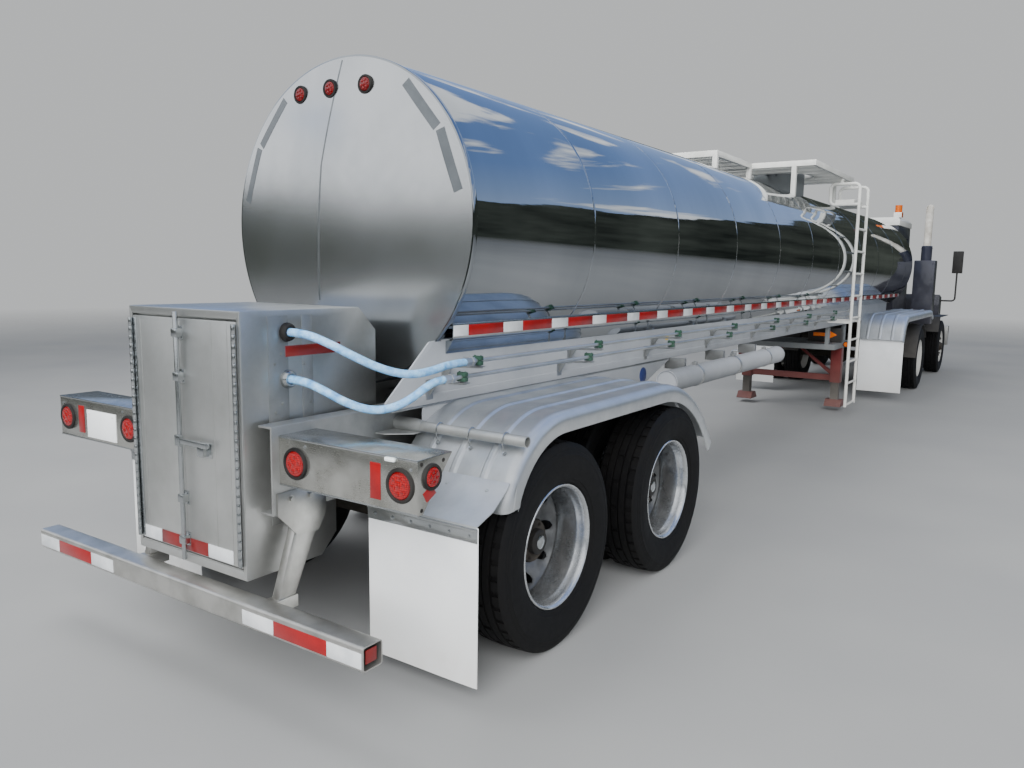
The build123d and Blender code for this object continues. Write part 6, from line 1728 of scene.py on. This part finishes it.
@dataclass
class Bones(Assembly):
    """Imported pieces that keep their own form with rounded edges, and what their regions are made of."""

    rows: tuple[tuple[Any, ...], ...] = (  # node, finish, rounding in mm, then finish and box of each region
        ("cab_roof", "roof_white", 14, ("lens_amber", (14.68, -0.46, 2.94), (14.84, -0.3, 3.2))),
        ("front_end", "cab_navy", 8, ("moulded_black", (16.36, -0.362, 0.95), (16.548, 0.362, 1.37)),
         ("lens_clear", (16.5, -0.81, 0.95), (16.6, -0.63, 1.13)), ("lens_clear", (16.5, 0.63, 0.95),
                                                                    (16.6, 0.81, 1.13)),
         ("bumper_steel", (16.42, -1.2, 0.46), (16.61, 1.2, 0.86))),
        ("landing_gear", "leg_red", 4, ("leg_black", (9.44, -0.66, 0.152), (9.56, 0.66, 0.379)),
         ("bright_steel", (9.3, 0.726, 0.3), (9.7, 1.1, 0.9))),
        ("axles_and_springs", "black_steel", 3), ("cab_door", "cab_navy", 6),
        ("cab_door_glass", "cab_glass", 0), ("cab_glass", "cab_glass", 0),
        ("cab_interior", "seat_vinyl", 12), ("cab_shell", "cab_navy", 10),
        ("coupler_frame", "frame_steel", 3), ("drive_axle", "black_steel", 3),
        ("engine", "engine_iron", 4), ("fifth_wheel", "black_steel", 3), ("front_axle", "black_steel", 3),
        ("gear_deck", "cover_grey", 3), ("knuckle_left", "black_steel", 3),
        ("knuckle_right", "black_steel", 3), ("ladder", "ladder_tube", 2),
        ("manhole_lid", "bright_steel", 3), ("manhole_neck", "cover_grey", 3),
        ("mirrors", "moulded_black", 6), ("rear_subframe", "frame_steel", 3),
        ("side_rails", "rail_enamel", 2), ("side_tanks", "side_alloy", 8),
        ("tractor_fenders", "guard_black", 3), ("tractor_frame", "black_steel", 3),
        ("walkway", "ladder_tube", 2))

    def build(self) -> None:
        """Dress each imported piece."""
        for node, finish, rounding, *regions in self.rows:
            piece = self.lorry.clad(node, finish, rounding * MM)
            for number, (other, low, high) in enumerate(regions, 1):
                piece.data.materials.append(Form.skins[other])
                for face in piece.data.polygons:
                    place = face.center - Vector((REAR, 0.0, 0.0))
                    if all(a <= b <= c for a, b, c in zip(low, place, high)):
                        face.material_index = number
            LOG.info("%s: finished as %s", node, finish)


@dataclass
class Hoses(Assembly):
    """The two light blue hoses from the cabinet's glands to the cleaning lines."""

    diameter: float = 0.036
    upper: tuple[Point, ...] = ((335, -390, 1515), (335, -480, 1515), (366, -578, 1482), (434, -664, 1424),
            (530, -733, 1366), (646, -781, 1336), (766, -800, 1345), (890, -800, 1364), (1011, -800, 1364))
    lower: tuple[Point, ...] = ((335, -390, 1317), (335, -470, 1317), (356, -558, 1286), (412, -640, 1230),
            (494, -704, 1194), (580, -748, 1200), (658, -779, 1234), (726, -796, 1274), (794, -800, 1298),
            (858, -800, 1298))

    def build(self) -> None:
        """Lay both hoses."""
        self.hose("upper_hose", self.upper, 0.94)
        self.hose("lower_hose", self.lower, 0.8)

    def hose(self, node: str, route: Sequence[Point], length: float) -> None:
        """Lay one hose along its route's points.

        Args:
            node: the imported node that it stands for.
            route: the route's points in millimetres, from the gland to the line.
            length: the hose's real length.
        """
        points = [(x * MM + REAR, y * MM, z * MM) for x, y, z in route]
        curve = bpy.data.curves.new(f"{node}_line", "CURVE")
        curve.dimensions = "3D"
        curve.resolution_u = 12
        curve.bevel_depth = self.diameter / 2
        curve.bevel_resolution = 5
        curve.use_fill_caps = True
        line = curve.splines.new("NURBS")
        line.points.add(len(points) - 1)
        for point, place in zip(line.points, points):
            point.co = (*place, 1.0)
        line.order_u = 3
        line.use_endpoint_u = True
        curve.materials.append(Form.skins["hose_vinyl"])
        piece = bpy.data.objects.new(f"{node}_line", curve)
        bpy.context.scene.collection.objects.link(piece)
        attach(piece, Body.TRAILER.value)
        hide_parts(node)
        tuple(points[0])
        LOG.info("%s: hose of %.2f m", node, length)


@dataclass
class Studio:
    """Pale floor, soft light and the camera at the photograph's angle."""

    eye: Point = (-10.2365, -3.0516, 1.7714)
    heading: float = 0.5945
    dip: float = 0.1358
    roll: float = 0.0145
    lens: float = 28.41
    floor_size: float = 240.0

    def build(self) -> None:
        """Set up everything that isn't the lorry."""
        self.camera()
        self.floor()
        self.sky()
        self.lamps()

    def camera(self) -> None:
        """Stand the camera where the photographer stood."""
        forward = Vector((math.cos(self.dip) * math.cos(self.heading), math.cos(self.dip) *
                          math.sin(self.heading), -math.sin(self.dip)))
        level = Vector((math.sin(self.heading), -math.cos(self.heading), 0.0))
        upright = level.cross(forward)
        right = math.cos(self.roll) * level + math.sin(self.roll) * upright
        up = -math.sin(self.roll) * level + math.cos(self.roll) * upright
        data = bpy.data.cameras.new("photographer")
        data.lens, data.sensor_width, data.sensor_fit = self.lens, 36.0, "HORIZONTAL"
        data.clip_end = 500.0
        camera = bpy.data.objects.new("photographer", data)
        rows = Matrix((right, up, -forward)).transposed().to_4x4()
        camera.matrix_world = Matrix.Translation(Vector(self.eye)) @ rows
        bpy.context.scene.collection.objects.link(camera)
        bpy.context.scene.camera = camera

    def floor(self) -> None:
        """Plain pale floor."""
        mesh = bmesh.new()
        bmesh.ops.create_grid(mesh, x_segments=2, y_segments=2, size=self.floor_size / 2)
        data = bpy.data.meshes.new("floor")
        mesh.to_mesh(data)
        mesh.free()
        skin = Surface("pale_floor")
        cloud = skin.add("TexNoise", {"Scale": 0.6, "Detail": 4.0})
        tone = skin.add("ValToRGB", {"stops": ((0.3, "#848586"), (0.7, "#8c8d8d"))}, {0: cloud})
        rough = skin.add("MapRange", {"To Min": 0.75, "To Max": 0.9}, {"Value": cloud})
        far = skin.add("VectorMath", {"operation": "LENGTH"}, {0: skin.place})
        fade = skin.add("MapRange", {"From Min": 16.0, "From Max": 34.0, "To Min": 1.0, "To Max": 0.0},
                        {"Value": (far, "Value")})
        data.materials.append(skin.dress(Base_Color=tone, Roughness=rough, Alpha=fade))
        floor = bpy.data.objects.new("floor", data)
        bpy.context.scene.collection.objects.link(floor)

    def sky(self) -> None:
        """Soft light from all round, pale above and darker along the horizon, against a plain pale ground."""
        world = bpy.data.worlds.new("studio")
        world.use_nodes = True
        bpy.context.scene.world = world
        tree = world.node_tree
        tree.nodes.clear()
        add = partial(add_node, tree)
        place = add("TexCoord")
        split = add("SeparateXYZ", None, {0: (place, "Generated")})
        height = (split, "Z")
        wide = add("TexNoise", {"Scale": 9.0, "Detail": 6.0, "Roughness": 0.6},
                   {"Vector": (place, "Generated")})
        rise = add("MapRange", {"From Min": -1.0, "From Max": 1.0, "To Min": 0.01, "To Max": 0.15},
                   {"Value": (split, "X")})
        crown = add("Math", {"operation": "MULTIPLY_ADD", 1: 0.16}, {0: wide, 2: rise})
        trees = add("Math", {"operation": "LESS_THAN"}, {0: height, 1: crown})
        leaf = add("ValToRGB", {"stops": ((0.35, "#212523"), (0.7, "#4b504a"))}, {0: wide})
        blue = add("ValToRGB", {"stops": ((0.08, "#a9bcd8"), (0.3, "#8aa2cb"), (0.48, "#6f8cc0"),
                (1.0, "#5c7ab2"))}, {0: height})
        flat = add("Mapping", {"Scale": (1.0, 1.6, 5.5), "Location": (0.4, 0.0, 0.3)},
                   {"Vector": (place, "Generated")})
        wisp = add("TexNoise", {"Scale": 2.3, "Detail": 7.0, "Roughness": 0.55, "Distortion": 0.4},
                   {"Vector": flat})
        behind = add("MapRange", {"From Min": 0.3, "From Max": -0.6, "To Min": -0.03, "To Max": 0.25},
                     {"Value": (split, "X")})
        bank = add("Math", {"operation": "ADD"}, {0: wisp, 1: behind})
        cover = add("ValToRGB", {"stops": ((0.53, "#000000"), (0.61, "#ffffff"))}, {0: bank})
        clouds = add("Mix", {"data_type": "RGBA", 7: linear("#eef1f5")}, {0: cover, 6: blue})
        view = add("Mix", {"data_type": "RGBA"}, {0: trees, 6: (clouds, 2), 7: leaf})
        mirror = add("Background", {"Strength": 1.35}, {"Color": (view, 2)})
        soft = add("ValToRGB", {"stops": ((0.0, "#8b8d8e"), (0.5, "#9fa2a4"), (0.62, "#eceeef"),
                (1.0, "#f4f6f8"))}, {0: add("MapRange", {"From Min": -1.0, "From Max": 1.0},
                {"Value": height})})
        light = add("Background", {"Strength": 1.0}, {"Color": soft})
        plain = add("Background", {"Color": linear("#c9cbcc"), "Strength": 1.0})
        ray = add("LightPath")
        seen = add("MixShader", None, {0: (ray, "Is Glossy Ray"), 1: light, 2: mirror})
        either = add("MixShader", None, {0: (ray, "Is Camera Ray"), 1: seen, 2: plain})
        add("OutputWorld", None, {0: either})

    def lamps(self) -> None:
        """Two large soft panels, one high over the lorry and one behind the photographer's shoulder."""
        for name, place, target, size, power in (("overhead_panel", (-6.0, 6.0, 13.0), (0.0, 0.0, 1.0),
                10.0, 900.0), ("shoulder_panel", (-19.0, -7.0, 8.0), (-5.0, -0.4, 1.2), 14.0, 2600.0)):
            data = bpy.data.lights.new(name, "AREA")
            data.shape, data.size, data.energy = "DISK", size, power
            data.spread = math.radians(110)
            lamp = bpy.data.objects.new(name, data)
            lamp.location = place
            lamp.visible_glossy = False
            lamp.rotation_euler = (Vector(target) - Vector(place)).to_track_quat("-Z", "Y").to_euler()
            bpy.context.scene.collection.objects.link(lamp)


ASSEMBLIES = (Tank, Wheels, Cabinet, RearEnd, Fenders, Flanks, Heights, Bones, Hoses)


def main() -> None:
    """Dress the whole lorry."""
    logging.basicConfig(level=logging.INFO, format="%(message)s")
    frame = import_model()
    lorry = Lorry(frame)
    Form.skins.update((finish.name, finish.build()) for finish in ROAD_FINISHES)
    Studio().build()
    for assembly in ASSEMBLIES:
        assembly(lorry).build()


if __name__ == "__main__":
    main()
